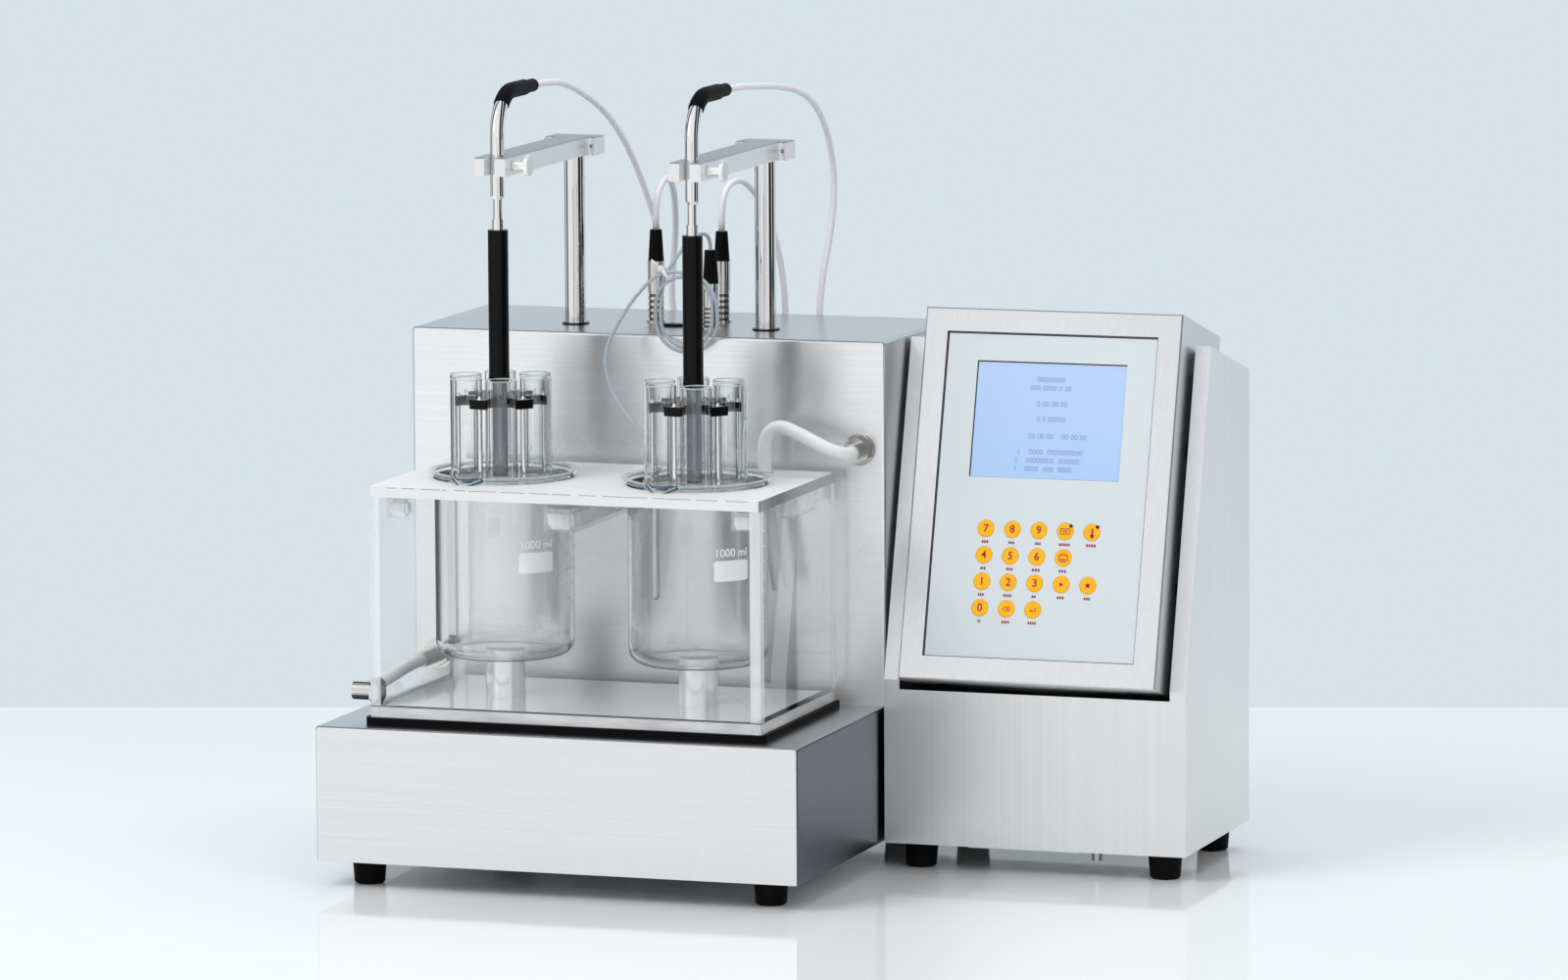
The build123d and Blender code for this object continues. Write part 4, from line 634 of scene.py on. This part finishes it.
def studio_world():
    """Pale blue behind and brighter in front; metal and glass also see dark and bright panels in it."""
    world = bpy.data.worlds.new("studio")
    bpy.context.scene.world = world
    world.use_nodes = True
    world.node_tree.nodes.clear()
    sky = Shading(world.node_tree)

    def ramp(value, start, end):
        return sky.remap(value, 0.0, 1.0, start, end, interpolation_type="SMOOTHSTEP")

    place = sky.node("ShaderNodeTexCoord").outputs["Generated"]
    split = sky.node("ShaderNodeSeparateXYZ", {"Vector": place})
    x, y, z = (split.outputs[axis] for axis in "XYZ")
    azimuth = sky.computed("ARCTAN2", x, sky.computed("MULTIPLY", y, -1.0))
    plain_backdrop = sky.mix(ramp(y, *front_light_span), backdrop, front_light)
    seen = plain_backdrop
    for start, end, low, high, value in studio_panels:
        panel = ramp(azimuth, start - panel_blur, start + panel_blur)
        others = ((azimuth, end, -panel_blur), (z, low, panel_blur), (z, high, -panel_blur))
        for source, edge, blur in others:
            panel = sky.computed("MULTIPLY", panel, ramp(source, edge - blur, edge + blur))
        seen = sky.mix(panel, seen, (value, value, value * 1.02))
    path = sky.node("ShaderNodeLightPath").outputs
    seen = sky.mix(path["Is Camera Ray"], seen, plain_backdrop)
    direct = sky.computed("MAXIMUM", path["Is Glossy Ray"], path["Is Transmission Ray"])
    direct = sky.computed("MAXIMUM", path["Is Camera Ray"], direct)
    shown = sky.node("ShaderNodeBackground", {"Color": seen})
    even = sky.node("ShaderNodeBackground", {"Color": (1, 1, 1, 1), "Strength": ambient})
    both = sky.node("ShaderNodeMixShader", {0: direct, 1: even.outputs[0], 2: shown.outputs[0]})
    sky.node("ShaderNodeOutputWorld", {"Surface": both.outputs[0]})


def lamp(name, place, size, power):
    """A soft lamp aimed at the object's middle; metal sees the world's panels instead of it."""
    data = bpy.data.lights.new(name, "AREA")
    data.size = size
    data.energy = power
    made = in_scene(name, data)
    made.location = place
    made.rotation_euler = (lamp_target - place).to_track_quat("-Z", "Y").to_euler()
    made.visible_glossy = False
    made.visible_transmission = False


studio_world()
lamp("key_lamp", Vector((-1.6, -2.0, 2.6)), 1.8, 62)
lamp("fill_lamp", Vector((2.4, -1.8, 1.6)), 1.6, 18)
lamp("top_lamp", Vector((0.2, 0.6, 2.8)), 2.2, 30)
bpy.context.scene.view_settings.view_transform = "Standard"


# Cables and hoses: each follows its route as one smooth spline

left_cable_route = [
    (113, 177, 590), (113, 200, 590), (114.4, 247, 586.5), (118, 311, 564), (121, 347, 542), (125, 371, 516),
    (130, 386, 488), (136.5, 397, 457), (136, 399, 425), (127, 397, 392), (119, 396, 357), (117, 396, 325),
    (121, 396, 304), (130, 396, 289), (143, 396, 283), (156, 396, 288), (163, 396, 303), (164, 395, 325),
    (160.5, 394.5, 352), (152, 393, 378), (148, 391, 407), (150, 390, 433), (154, 386, 461),
    (158.5, 371, 490), (163, 346, 506), (167, 325, 506.5), (168.2, 306, 501.5), (168.6, 297.3, 488),
    (168.6, 297.3, 470),
]
right_cable_route = [
    (267, 177, 590), (267, 203, 590), (268, 250, 586.5), (269, 305, 582), (271, 358, 572),
    (272.5, 391, 552), (274, 410, 523), (274, 417, 491), (271.5, 412, 455), (268, 402, 424),
    (267, 397, 393), (270, 396, 360), (272, 396, 330), (268.5, 396, 309), (259.5, 396, 294.5),
    (247.5, 396, 290.5), (237, 396, 297), (231.5, 396, 312), (232, 395, 333), (237, 394.5, 358),
    (240.5, 394, 384), (240.5, 394, 414), (236, 392, 448), (229, 382, 480), (221.5, 358, 503),
    (218.5, 338, 505.5), (217.5, 319.5, 500.5), (217.2, 311.1, 486.5), (217.2, 311.1, 468.6),
]
sensor_start_route = [
    (224, 264.8, 459), (224, 264.8, 467), (221.5, 257, 473.5), (216, 240, 470.5), (209.5, 220, 454),
    (204.35, 212, 443), (204.35, 205, 425),
]
sensor_end_route = [
    (204, 205, 448.65), (188, 192, 430), (176, 177, 405), (172.3, 165, 386), (181, 154, 364),
    (202, 142, 341), (226, 126, 326), (226, 126, 309.5),
]
suction_route = [
    (360, 190, 317), (360, 180, 317), (352, 172.5, 320), (338, 171.5, 326.5), (322, 175.5, 333),
    (306, 181.5, 337.5), (293.5, 184.3, 328), (293.8, 184.3, 306), (296.5, 184.3, 272), (300.5, 184.3, 240),
    (305, 184.3, 212),
]
supply_route = [(20, 168, 148), (20, 147, 148), (19.2, 112, 144.4), (20, 86, 143), (20, 64, 143)]
coil_centre = (225.0, 205.0, 417.0)
coil_inner_radius = 20.65
coil_half_side = 5.0
coil_pitch = 4.0
coil_half_turns = 3
coil_steps = 6
doubled_gap = 0.05 * MM
basket_cable_diameter = 5.0
sensor_cable_diameter = 2.7
suction_hose_diameter = 10.5
supply_hose_diameter = 10.0


def coil_route():
    """The tied coil's turns: straight sides between half circles that widen by half a pitch each."""
    x, y, z = coil_centre
    points = []
    strand, reach = -coil_inner_radius, coil_inner_radius
    for half_turn in range(coil_half_turns):
        side = 1 if half_turn % 2 == 0 else -1
        turn_start = math.pi if side > 0 else 0.0
        middle = strand + side * reach
        spread = reach / math.cos(math.pi / coil_steps / 2)
        for step in range(coil_steps):
            angle = turn_start + math.pi * (step + 0.5) / coil_steps
            points.append((x + middle + spread * math.cos(angle), y,
                           z - side * coil_half_side + spread * math.sin(angle)))
        strand += 2 * side * reach
        points.append((x + strand, y, z))
        reach += coil_pitch / 2
    middle = strand - reach
    for step in range(coil_steps // 2):
        angle = math.pi * (step + 0.5) / coil_steps
        points.append((x + middle + reach * math.cos(angle), y,
                       z + coil_half_side + reach * math.sin(angle)))
    return points


def spline_curve(name, route):
    """A smooth curve with the route's points as its control points."""
    data = bpy.data.curves.new(name, "CURVE")
    data.dimensions = "3D"
    data.resolution_u = 10
    spline = data.splines.new("NURBS")
    spline.points.add(len(route) - 1)
    for point, place in zip(spline.points, route):
        point.co = (*at(*place), 1)
    spline.order_u = 3
    spline.use_endpoint_u = True
    return in_scene(name, data)


def points_on(route):
    """The points of a route's smooth curve."""
    line = spline_curve("line", route)
    mesh = bpy.data.meshes.new_from_object(line)
    points = [vertex.co.copy() for vertex in mesh.vertices]
    bpy.data.meshes.remove(mesh)
    bpy.data.objects.remove(line)
    return points[:1] + [place for before, place in zip(points, points[1:])
                         if (place - before).length > doubled_gap]


def tube_mesh(name, points, diameter, sides_round=16):
    """A closed tube along points, with its section turned along without twist."""
    shape = bmesh.new()
    rings = []
    normal = None
    for index, place in enumerate(points):
        before, after = points[max(index - 1, 0)], points[min(index + 1, len(points) - 1)]
        tangent = (after - before).normalized()
        if normal is None:
            normal = tangent.orthogonal().normalized()
        normal = (normal - tangent * normal.dot(tangent)).normalized()
        across = tangent.cross(normal)
        ring = []
        for step in range(sides_round):
            angle = 2 * math.pi * step / sides_round
            outward = normal * math.cos(angle) + across * math.sin(angle)
            ring.append(shape.verts.new(place + outward * diameter / 2 * MM))
        rings.append(ring)
    for one, other in zip(rings, rings[1:]):
        for step in range(sides_round):
            after = (step + 1) % sides_round
            shape.faces.new((one[step], one[after], other[after], other[step]))
    shape.faces.new(list(reversed(rings[0])))
    shape.faces.new(rings[-1])
    return mesh_from(name, shape, True)


# Each basket's cable as a smooth tube along its route, in place of the CAD cables
for side, route in zip(sides, (left_cable_route, right_cable_route)):
    points = points_on(route)
    mesh = tube_mesh("cable", points[::3] + points[-1:], basket_cable_diameter)
    cable = piece_of(f"basket_cable_{side}", mesh, "cable_grey", None)
    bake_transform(cable)
    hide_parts("basket_cables")


def cord_piece(name, route, diameter, surface, replaced):
    """A round cord along a route's spline, in place of the CAD pieces it hides."""
    points = points_on(route)
    made = spline_curve(name, route)
    made.data.bevel_depth = diameter / 2 * MM
    made.data.bevel_resolution = 5
    made.data.use_fill_caps = True
    made.data.materials.append(surfaces[surface].material)
    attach(made, "tester")
    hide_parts(*replaced)


cord_piece("sensor_lead", sensor_start_route + coil_route() + sensor_end_route, sensor_cable_diameter,
           "sensor_grey", ("sensor_cable", "sensor_coil"))
cord_piece("suction_hose", suction_route, suction_hose_diameter,
           "silicone", ("water_hoses",))
cord_piece("supply_hose", supply_route, supply_hose_diameter,
           "silicone", ("water_hoses",))


def cable_tie():
    """The white strap that ties the coil's turns at their upper left, with its head and tail."""
    centre = at(209, 207, 446)
    around = Vector((0.75, 0.1, 0.6)).normalized()
    head_centre = centre + Vector((-4.5, -3.0, 4.0)) * MM
    tail_start = centre + Vector((-4.5, -3.0, 5.0)) * MM
    band = turned_mesh("band", [(5.2, -1.3), (6.2, -1.3), (6.2, 1.3), (5.2, 1.3), (5.2, -1.3)],
                       centre, around)
    head = turned_mesh("head", [(0, -2.4), (2.4, -2.4), (2.7, 0), (2.4, 2.4), (0, 2.4)],
                       head_centre, Vector((0.3, 0.2, -1)), 8)
    tail = turned_mesh("tail", [(0, 0), (1.2, 0), (0.9, 9), (0, 9.4)],
                       tail_start, Vector((-0.75, -0.2, 0.7)), 8)
    piece_of("cable_tie", [band, head, tail], "tie_white")


cable_tie()


# Beakers: graduations, a writing patch and its volume in white enamel

beaker_radius = 52.5
beaker_lift = 0.2


def curved_patch(name, x, first, last, low, high, steps=14, rounding=0.0):
    """A thin patch round a beaker between two angles in degrees and two heights."""
    shape = bmesh.new()
    columns = []
    for step in range(steps + 1):
        share = step / steps
        angle = math.radians(first + (last - first) * share)
        inset = rounding * max(0.0, abs(2 * share - 1) * 6 - 5) ** 2
        spots = []
        for radius in (beaker_radius + beaker_lift, beaker_radius + 2 * beaker_lift):
            for height in (low + inset, high - inset):
                spots.append(shape.verts.new(at(x + radius * math.cos(angle),
                                                beaker_centre_y + radius * math.sin(angle), height)))
        columns.append(spots)
    for one, other in zip(columns, columns[1:]):
        for a, b in ((0, 1), (1, 3), (3, 2), (2, 0)):
            shape.faces.new((one[a], one[b], other[b], other[a]))
    for spots in (columns[0], columns[-1]):
        shape.faces.new((spots[0], spots[1], spots[3], spots[2]))
    return mesh_from(name, shape)


def text_mesh(text, size, matrix, depth=0.05, weight=0.0):
    """Raised lettering about a place, its size, depth and added stroke in millimetres."""
    data = bpy.data.curves.new("lettering", "FONT")
    data.body = text
    data.size = size * MM
    data.align_x = "CENTER"
    data.align_y = "CENTER"
    data.extrude = depth / 2 * MM
    data.offset = weight * MM
    holder = in_scene("lettering", data)
    bpy.context.view_layer.update()
    mesh = bpy.data.meshes.new_from_object(holder.evaluated_get(bpy.context.evaluated_depsgraph_get()))
    bpy.data.objects.remove(holder)
    mesh.transform(matrix)
    return mesh


def wrapped_text(text, size, x, angle, height):
    """Lettering bent round a beaker."""
    mesh = text_mesh(text, size, Matrix.Identity(4), weight=volume_weight)
    middle = math.radians(angle)
    for vertex in mesh.vertices:
        radius = (beaker_radius + beaker_lift) * MM + vertex.co.z
        turned = middle + vertex.co.x / (beaker_radius * MM)
        centre = at(x, beaker_centre_y, height)
        rise = vertex.co.y
        vertex.co = centre + Vector((radius * math.cos(turned), radius * math.sin(turned), rise))
    return mesh


patch_angles = (-58, -27)
patch_heights = (234.0, 249.5)
volume_height = 255.0
volume_weight = 0.15
tick_angle = -6.0
patch_rounding = 1.2
volume_size = 8.5
tick_heights = [199 + 11.4 * step for step in range(8)]
tick_reach = 4
tick_line = 1.1
scale_angles = (tick_angle - 3.6, tick_angle - 3.0)
scale_heights = (tick_heights[0], tick_heights[-1] + 0.7)
for side, x in beaker_x.items():
    marks = [curved_patch("patch", x, *patch_angles, *patch_heights, rounding=patch_rounding)]
    marks.append(wrapped_text("1000 ml", volume_size, x, sum(patch_angles) / 2, volume_height))
    for height in tick_heights:
        marks.append(curved_patch("tick", x, tick_angle - tick_reach, tick_angle + tick_reach,
                                  height, height + tick_line, 4))
    marks.append(curved_patch("scale", x, *scale_angles, *scale_heights, 2))
    piece_of(f"beaker_marks_{side}", marks, "enamel_white")


# Beakers: the thick rounded bead of each rim, and the blue edge of glass at the lip of its spout

spout_spread = 10.0
spout_reach = 8.0
spout_dip = 5.0
rim_radius = 52.6
rim_height = 305.4
rim_bead = 2.0
lip_spread = 14.0
lip_edge = 1.9
lip_steps = 12
lip_shift = (0.8, 0.6)
rim_steps = 120


def rim_point(x, turn, outward=0.0, drop=0.0):
    """A place on a beaker's rim at an angle in degrees from its spout."""
    pull = math.exp(-(turn / spout_spread) ** 2)
    radius = rim_radius + spout_reach * pull + outward
    angle = math.radians(spout_angle + turn)
    return at(x + radius * math.cos(angle), beaker_centre_y + radius * math.sin(angle),
              rim_height - spout_dip * pull - drop)


for side, x in beaker_x.items():
    rim = [rim_point(x, 360 * step / rim_steps - 180) for step in range(rim_steps + 1)]
    piece_of(f"beaker_rim_{side}", tube_mesh("rim", rim, rim_bead, 10), "rim_bead")
    lip = [rim_point(x, lip_spread * (step / lip_steps - 1), *lip_shift)
           for step in range(2 * lip_steps + 1)]
    piece_of(f"beaker_lip_{side}", tube_mesh("lip", lip, lip_edge, 10), "glass_lip")


# Bath: milky cemented edges of its walls and floor, and the bright cores of its welded blocks

edge_proud = 0.12
wall = 8.0
broken_edge_share = 0.2
bath_ends = (36.0, 344.0)
bath_sides = (24.0, 199.0)
bath_heights = (127.0, 293.0)
front_line_height = 0.8
side_line_height = 0.5


def box_mesh(name, low, high):
    """A block between two corners in millimetres, its own edges slightly broken."""
    low, high = at(*low), at(*high)
    shape = bmesh.new()
    bmesh.ops.create_cube(shape, size=1.0)
    for vertex in shape.verts:
        vertex.co = Vector([low[axis] if vertex.co[axis] < 0 else high[axis] for axis in range(3)])
    bmesh.ops.bevel(shape, geom=shape.edges[:], offset=min(high - low) * broken_edge_share,
                    segments=2, affect="EDGES")
    return mesh_from(name, shape)


def bath_edges():
    """Strips over the walls' ends, just proud of the front and the two sides."""
    left, right = bath_ends
    front, back = bath_sides
    bottom, top = bath_heights
    out = edge_proud
    upright = []
    for start, end in ((left, left + wall), (right - wall, right)):
        upright.append(box_mesh("edge", (start, front - out, bottom), (end, front, top)))
    for x, outer in ((left - out, left), (right, right + out)):
        for start, end in ((front, front + wall), (back - wall, back)):
            upright.append(box_mesh("edge", (x, start, bottom), (outer, end, top)))
    piece_of("bath_edges", upright, "acrylic_edge")
    level = [box_mesh("rim", (left, front - out, bottom), (right, front, bottom + wall))]
    for x, outer in ((left - out, left), (right, right + out)):
        level.append(box_mesh("rim", (x, front, bottom), (outer, back, bottom + wall)))
    piece_of("bath_floor_edges", level, "acrylic_rim")
    floor = bottom + wall
    line = [box_mesh("line", (left, front - 2 * out, floor), (right, front, floor + front_line_height)),
            box_mesh("line", (right, front, floor), (right + 2 * out, back, floor + side_line_height))]
    piece_of("bath_floor_lines", line, "joint_grey")


def bath_blocks():
    """Cores inside the welded corner blocks and the centre bar."""
    corners = (((48, 33, 278), (63, 44, 290)), ((320, 33, 278), (335, 44, 290)),
               ((323, 132, 275), (335, 190, 292)), ((173.5, 33, 272.5), (194.5, 190, 287.5)))
    cores = [box_mesh("core", low, high) for low, high in corners]
    piece_of("bath_block_cores", cores, "acrylic_block")


dash_insets = (14, 12, 8)
dash_lengths = (4, 22)
dash_gaps = (0.8, 7)
dash_drops = (0.9, 0.5)
dash_proud = 0.06


def lid_line():
    """The dark broken line under the lid's front upper edge."""
    low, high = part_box("bath_lid")
    left, right = (low.x - corner.x) / MM, (high.x - corner.x) / MM
    front, top = (low.y - corner.y) / MM, high.z / MM
    first_inset, last_inset, end_inset = dash_insets
    dashes = random.Random(3)
    marks = []
    x = left + first_inset
    while x < right - last_inset:
        length = dashes.uniform(*dash_lengths)
        end = min(x + length, right - end_inset)
        marks.append(box_mesh("dash", (x, front - dash_proud, top - dash_drops[0]),
                              (end, front, top - dash_drops[1])))
        x += length + dashes.uniform(*dash_gaps)
    piece_of("lid_edge_line", marks, "joint_grey")


bath_edges()
bath_blocks()
lid_line()


# Basket racks: water drops on the tubes' lower ends, wire screens, bright rims, numbers, the contact pin

basket_y = 102.0
tube_circle = 30.0
tube_radius = 12.0
tube_bottom = 300.0
tube_count = 6
first_tube_angle = -69.0
drop_count = 26
drop_start = 6
drop_rise = 26
drop_sizes = (0.35, 1.0)
drop_crowding = 1.6
drop_sink = 0.05
screen_radius = 10.2
screen_heights = (297.4, 297.75)
wire_count = 5
wire_pitch = 1.9
wire_diameter = 0.35
number_angle = math.radians(-72)
number_height = 366
number_size = 4.0
number_lift = 0.1
tube_rim_inset = 0.6
tube_rim_bead = 0.9
contact_place = (6.5, 94.5, 363)
drop_random = random.Random(5)


def tube_centres(side):
    """The middles of a basket's tubes."""
    angles = [math.radians(first_tube_angle + 360 / tube_count * count) for count in range(tube_count)]
    return [(beaker_x[side] + tube_circle * math.cos(angle), basket_y + tube_circle * math.sin(angle))
            for angle in angles]


def tube_drops(x, y):
    """Water drops on the lower end of a tube, fewer further up."""
    drops = []
    for drop in range(drop_count):
        angle = drop_random.uniform(0, 2 * math.pi)
        height = tube_bottom + drop_start + drop_rise * drop_random.random() ** drop_crowding
        size = drop_random.uniform(*drop_sizes)
        outward = toward(angle)
        place = at(x, y, height) + outward * (tube_radius - drop_sink) * MM
        outline = [(size, 0), (size * 0.85, size * 0.3), (size * 0.5, size * 0.5), (0, size * 0.58)]
        drops.append(turned_mesh("drop", outline, place, outward, 8))
    return drops


def tube_screen(x, y):
    """The crossed wires under a tube."""
    wires = []
    for wire in range(-wire_count, wire_count + 1):
        offset = wire * wire_pitch
        half = math.sqrt(screen_radius ** 2 - offset ** 2)
        ends = (((x + offset, y - half), (x + offset, y + half)),
                ((x - half, y + offset), (x + half, y + offset)))
        for (start, end), height in zip(ends, screen_heights):
            wires.append(tube_mesh("wire", [at(*start, height), at(*end, height)], wire_diameter, 6))
    return wires


def tube_number(number, x, y):
    """A tube's number, upright on the side that faces the photograph's camera."""
    outward = toward(number_angle)
    flat = Matrix((UP.cross(outward), UP, outward)).transposed().to_4x4()
    place = at(x, y, number_height) + outward * (tube_radius + number_lift) * MM
    return text_mesh(str(number), number_size, Matrix.Translation(place) @ flat)


for side in sides:
    drops, screens, rims, numbers = [], [], [], []
    rim_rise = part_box(f"basket_tubes_{side}")[1].z / MM
    for count, (x, y) in enumerate(tube_centres(side)):
        drops += tube_drops(x, y)
        screens += tube_screen(x, y)
        numbers.append(tube_number(count + 1, x, y))
        ring = [at(*spot, rim_rise) for spot in circle_outline(x, y, tube_radius - tube_rim_inset, 48)]
        rims.append(tube_mesh("rim", ring + ring[:1], tube_rim_bead, 8))
    body = f"lift_{side}"
    piece_of(f"basket_drops_{side}", drops, "water", body)
    piece_of(f"basket_screens_{side}", screens, "ground_steel", body)
    piece_of(f"tube_rims_{side}", rims, "rim_bead", body)
    piece_of(f"tube_numbers_{side}", numbers, "ink_black", body)
    across, depth, height = contact_place
    contact = turned_mesh("contact", [(0, 0), (1.1, 0), (1.1, 0.6), (0, 0.7)],
                          at(beaker_x[side] + across, depth, height), UP, 12)
    piece_of(f"rack_contact_{side}", contact, "gold", body)


# Keypad: digits and symbols on the keys, short caption bars under them, two black lamp dots

face_tilt = math.radians(15.6)
face_up = Vector((0, math.sin(face_tilt), math.cos(face_tilt)))
face_out = Vector((0, -math.cos(face_tilt), math.sin(face_tilt)))
face_turn = Matrix((RIGHT, face_up, face_out)).transposed().to_4x4()
print_lift = 0.06
print_depth = 0.08


def on_face(place):
    """A matrix that lays a flat shape on the tilted front, over a place."""
    return Matrix.Translation(place + face_out * print_lift * MM) @ face_turn


def front_of(node, place):
    """A place moved along the tilted front's normal on to the front of a node."""
    front = max(vertex.co.dot(face_out) for vertex in nodes[node].data.vertices)
    return place + face_out * (front - place.dot(face_out))


def frame_outline(width, height, line):
    """Four bars round a rectangle."""
    return [rectangle(0, height / 2, width, line), rectangle(0, -height / 2, width, line),
            rectangle(-width / 2, 0, line, height), rectangle(width / 2, 0, line, height)]


symbols = {
    "start": [[(-1.2, -1.7), (1.7, 0), (-1.2, 1.7)]],
    "stop": [rectangle(0, 0, 2.9, 2.9)],
    "remote": frame_outline(7.4, 4.0, 0.5) + [rectangle(0, -0.6, 4.4, 0.5), rectangle(0, 0.6, 4.4, 0.5)],
    "heater": [circle_outline(0.4, -2.8, 1.5), rectangle(0.4, 0.4, 1.3, 5.2), rectangle(-1.8, 2.4, 1.0, 0.4),
               rectangle(-1.8, 0.6, 1.0, 0.4)],
    "print": frame_outline(7.0, 3.6, 0.5) + [rectangle(0, 3.1, 4.6, 0.5), rectangle(-2.3, 2.4, 0.5, 1.6),
                                             rectangle(2.3, 2.4, 0.5, 1.6), rectangle(0, -3.1, 4.6, 0.5),
                                             rectangle(0, -1.0, 4.6, 0.5)],
    "clear": [[(-3.0, 0), (-1.3, 1.7), (-1.3, 1.1), (-2.3, 0), (-1.3, -1.1), (-1.3, -1.7)],
              rectangle(0.7, 1.5, 4.0, 0.45), rectangle(0.7, -1.5, 4.0, 0.45), rectangle(2.6, 0, 0.45, 3.0),
              rectangle(0.6, 0, 1.7, 0.5), rectangle(0.6, 0, 0.5, 1.7)],
    "enter": [[(-2.5, -0.7), (-0.9, 0.5), (-0.9, -1.9)], rectangle(0.6, -0.7, 3.4, 0.6),
              rectangle(2.0, 0.3, 0.6, 2.4)],
}
caption_widths = {
    "7": 5.4, "8": 5.0, "9": 4.8, "remote": 9.0, "heater": 8.2, "4": 4.6, "5": 5.6, "6": 6.6, "print": 6.2,
    "1": 4.8, "2": 6.8, "3": 3.6, "start": 6.0, "stop": 5.4, "0": 2.6, "clear": 6.6, "enter": 6.8,
}
key_text_size = 8.2
key_text_weight = 0.12
dot_place = (4.2, 4.3)
dot_radius = 1.35
caption_drop = 10.0
caption_height = 2.0
stroke_share = 0.7
stroke_pitch = 1.9
captions = []
for row in frame["record"]["subparts"]:
    if not row["node"].startswith("key_"):
        continue
    key = row["node"][len("key_"):]
    middle = centre_of(row["node"])
    top = on_face(front_of(row["node"], middle))
    if key in symbols:
        symbol = [plate_mesh("mark", outline, print_depth, top) for outline in symbols[key]]
    else:
        symbol = text_mesh(key, key_text_size, top, print_depth, key_text_weight)
    piece_of(f"key_print_{key}", symbol, "ink_crimson", f"pressed_{key}")
    below = on_face(front_of("keypad_panel", middle - face_up * caption_drop * MM))
    width = caption_widths[key]
    strokes = max(2, round(width / stroke_pitch))
    for stroke in range(strokes):
        x = (stroke + 0.5) * width / strokes - width / 2
        bar = rectangle(x, 0, width / strokes * stroke_share, caption_height)
        captions.append(plate_mesh("stroke", bar, print_depth, below))
    if key in ("remote", "heater"):
        dot = plate_mesh("dot", circle_outline(*dot_place, dot_radius), print_depth * 2, top)
        piece_of(f"key_dot_{key}", dot, "ink_black")
piece_of("keypad_captions", captions, "ink_crimson")

# Display rows: plain figures only, each with its height and shift from the display's middle
display_middle = centre_of("display_window")
display_text_size = 5.6
display_text_depth = 0.04
display_rows = (
    (31, 0, "00000000"), (24.5, 0, "000 0000 0 00"), (12.5, 2, "0 00 00 00"), (1, 2, "0 0 00000"),
    (-12, 8, "00 00 00    00 00 00"), (-24, 3, "1    0000  0000000000"),
    (-30.5, 1, "2    00000000  000000"), (-37, -2, "3    0000  000  0000"),
)
rows = []
for rise, shift, text in display_rows:
    place = display_middle + face_up * rise * MM + RIGHT * shift * MM
    matrix = on_face(front_of("display_window", place))
    rows.append(text_mesh(text, display_text_size, matrix, display_text_depth))
piece_of("display_rows", rows, "ink_display")


def shadow_lines(name, node, left, right, low, high, width):
    """The dark lines at a sunken panel's top and left, from its edges in millimetres about its middle."""
    around = centre_of(node)
    top = front_of(node, around + face_up * (high - width / 2) * MM)
    side = front_of(node, around + RIGHT * (left + width / 2) * MM)
    across = rectangle((left + right) / 2, 0, right - left, width)
    upright = rectangle(0, (low + high) / 2, width, high - low)
    lines = [plate_mesh("line", outline, print_depth, on_face(start))
             for outline, start in ((across, top), (upright, side))]
    piece_of(name, lines, "ink_black")


shadow_lines("foil_shadow_lines", "keypad_panel", -81.9, 81.9, -122.9, 122.9, 0.9)
shadow_lines("display_shadow_lines", "display_window", -58.6, 58.6, -44.1, 44.1, 0.8)


# Fasteners: lid screws and rear cover screws

def screw_heads(name, places, axis, radius, height, surface="ground_steel"):
    """Pan heads with a round central recess, at places."""
    outline = [(0, 0), (radius, 0), (radius * 0.96, height * 0.45), (radius * 0.7, height * 0.85),
               (radius * 0.3, height), (radius * 0.22, height * 0.55), (0, height * 0.5)]
    heads = [turned_mesh("head", outline, place, axis, 20) for place in places]
    piece_of(name, heads, surface)


lid_low, lid_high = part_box("bath_lid")
lid_inset = 9 * MM
lid_places = [Vector((x, y, lid_high.z)) for x in (lid_low.x + lid_inset, lid_high.x - lid_inset)
              for y in (lid_low.y + lid_inset, lid_high.y - lid_inset)]
screw_heads("lid_screws", lid_places, UP, 2.6, 0.5, "white_acrylic")
rear_plane = 372
rear_places = []
for left, right, low, high in ((12, 368, 132, 386), (395, 607, 32, 330)):
    for x in (left, (left + right) / 2, right):
        for z in (low, (low + high) / 2, high):
            if x in (left, right) or z in (low, high):
                rear_places.append(at(x, rear_plane, z))
screw_heads("rear_screws", rear_places, BACK, 3.0, 1.6)
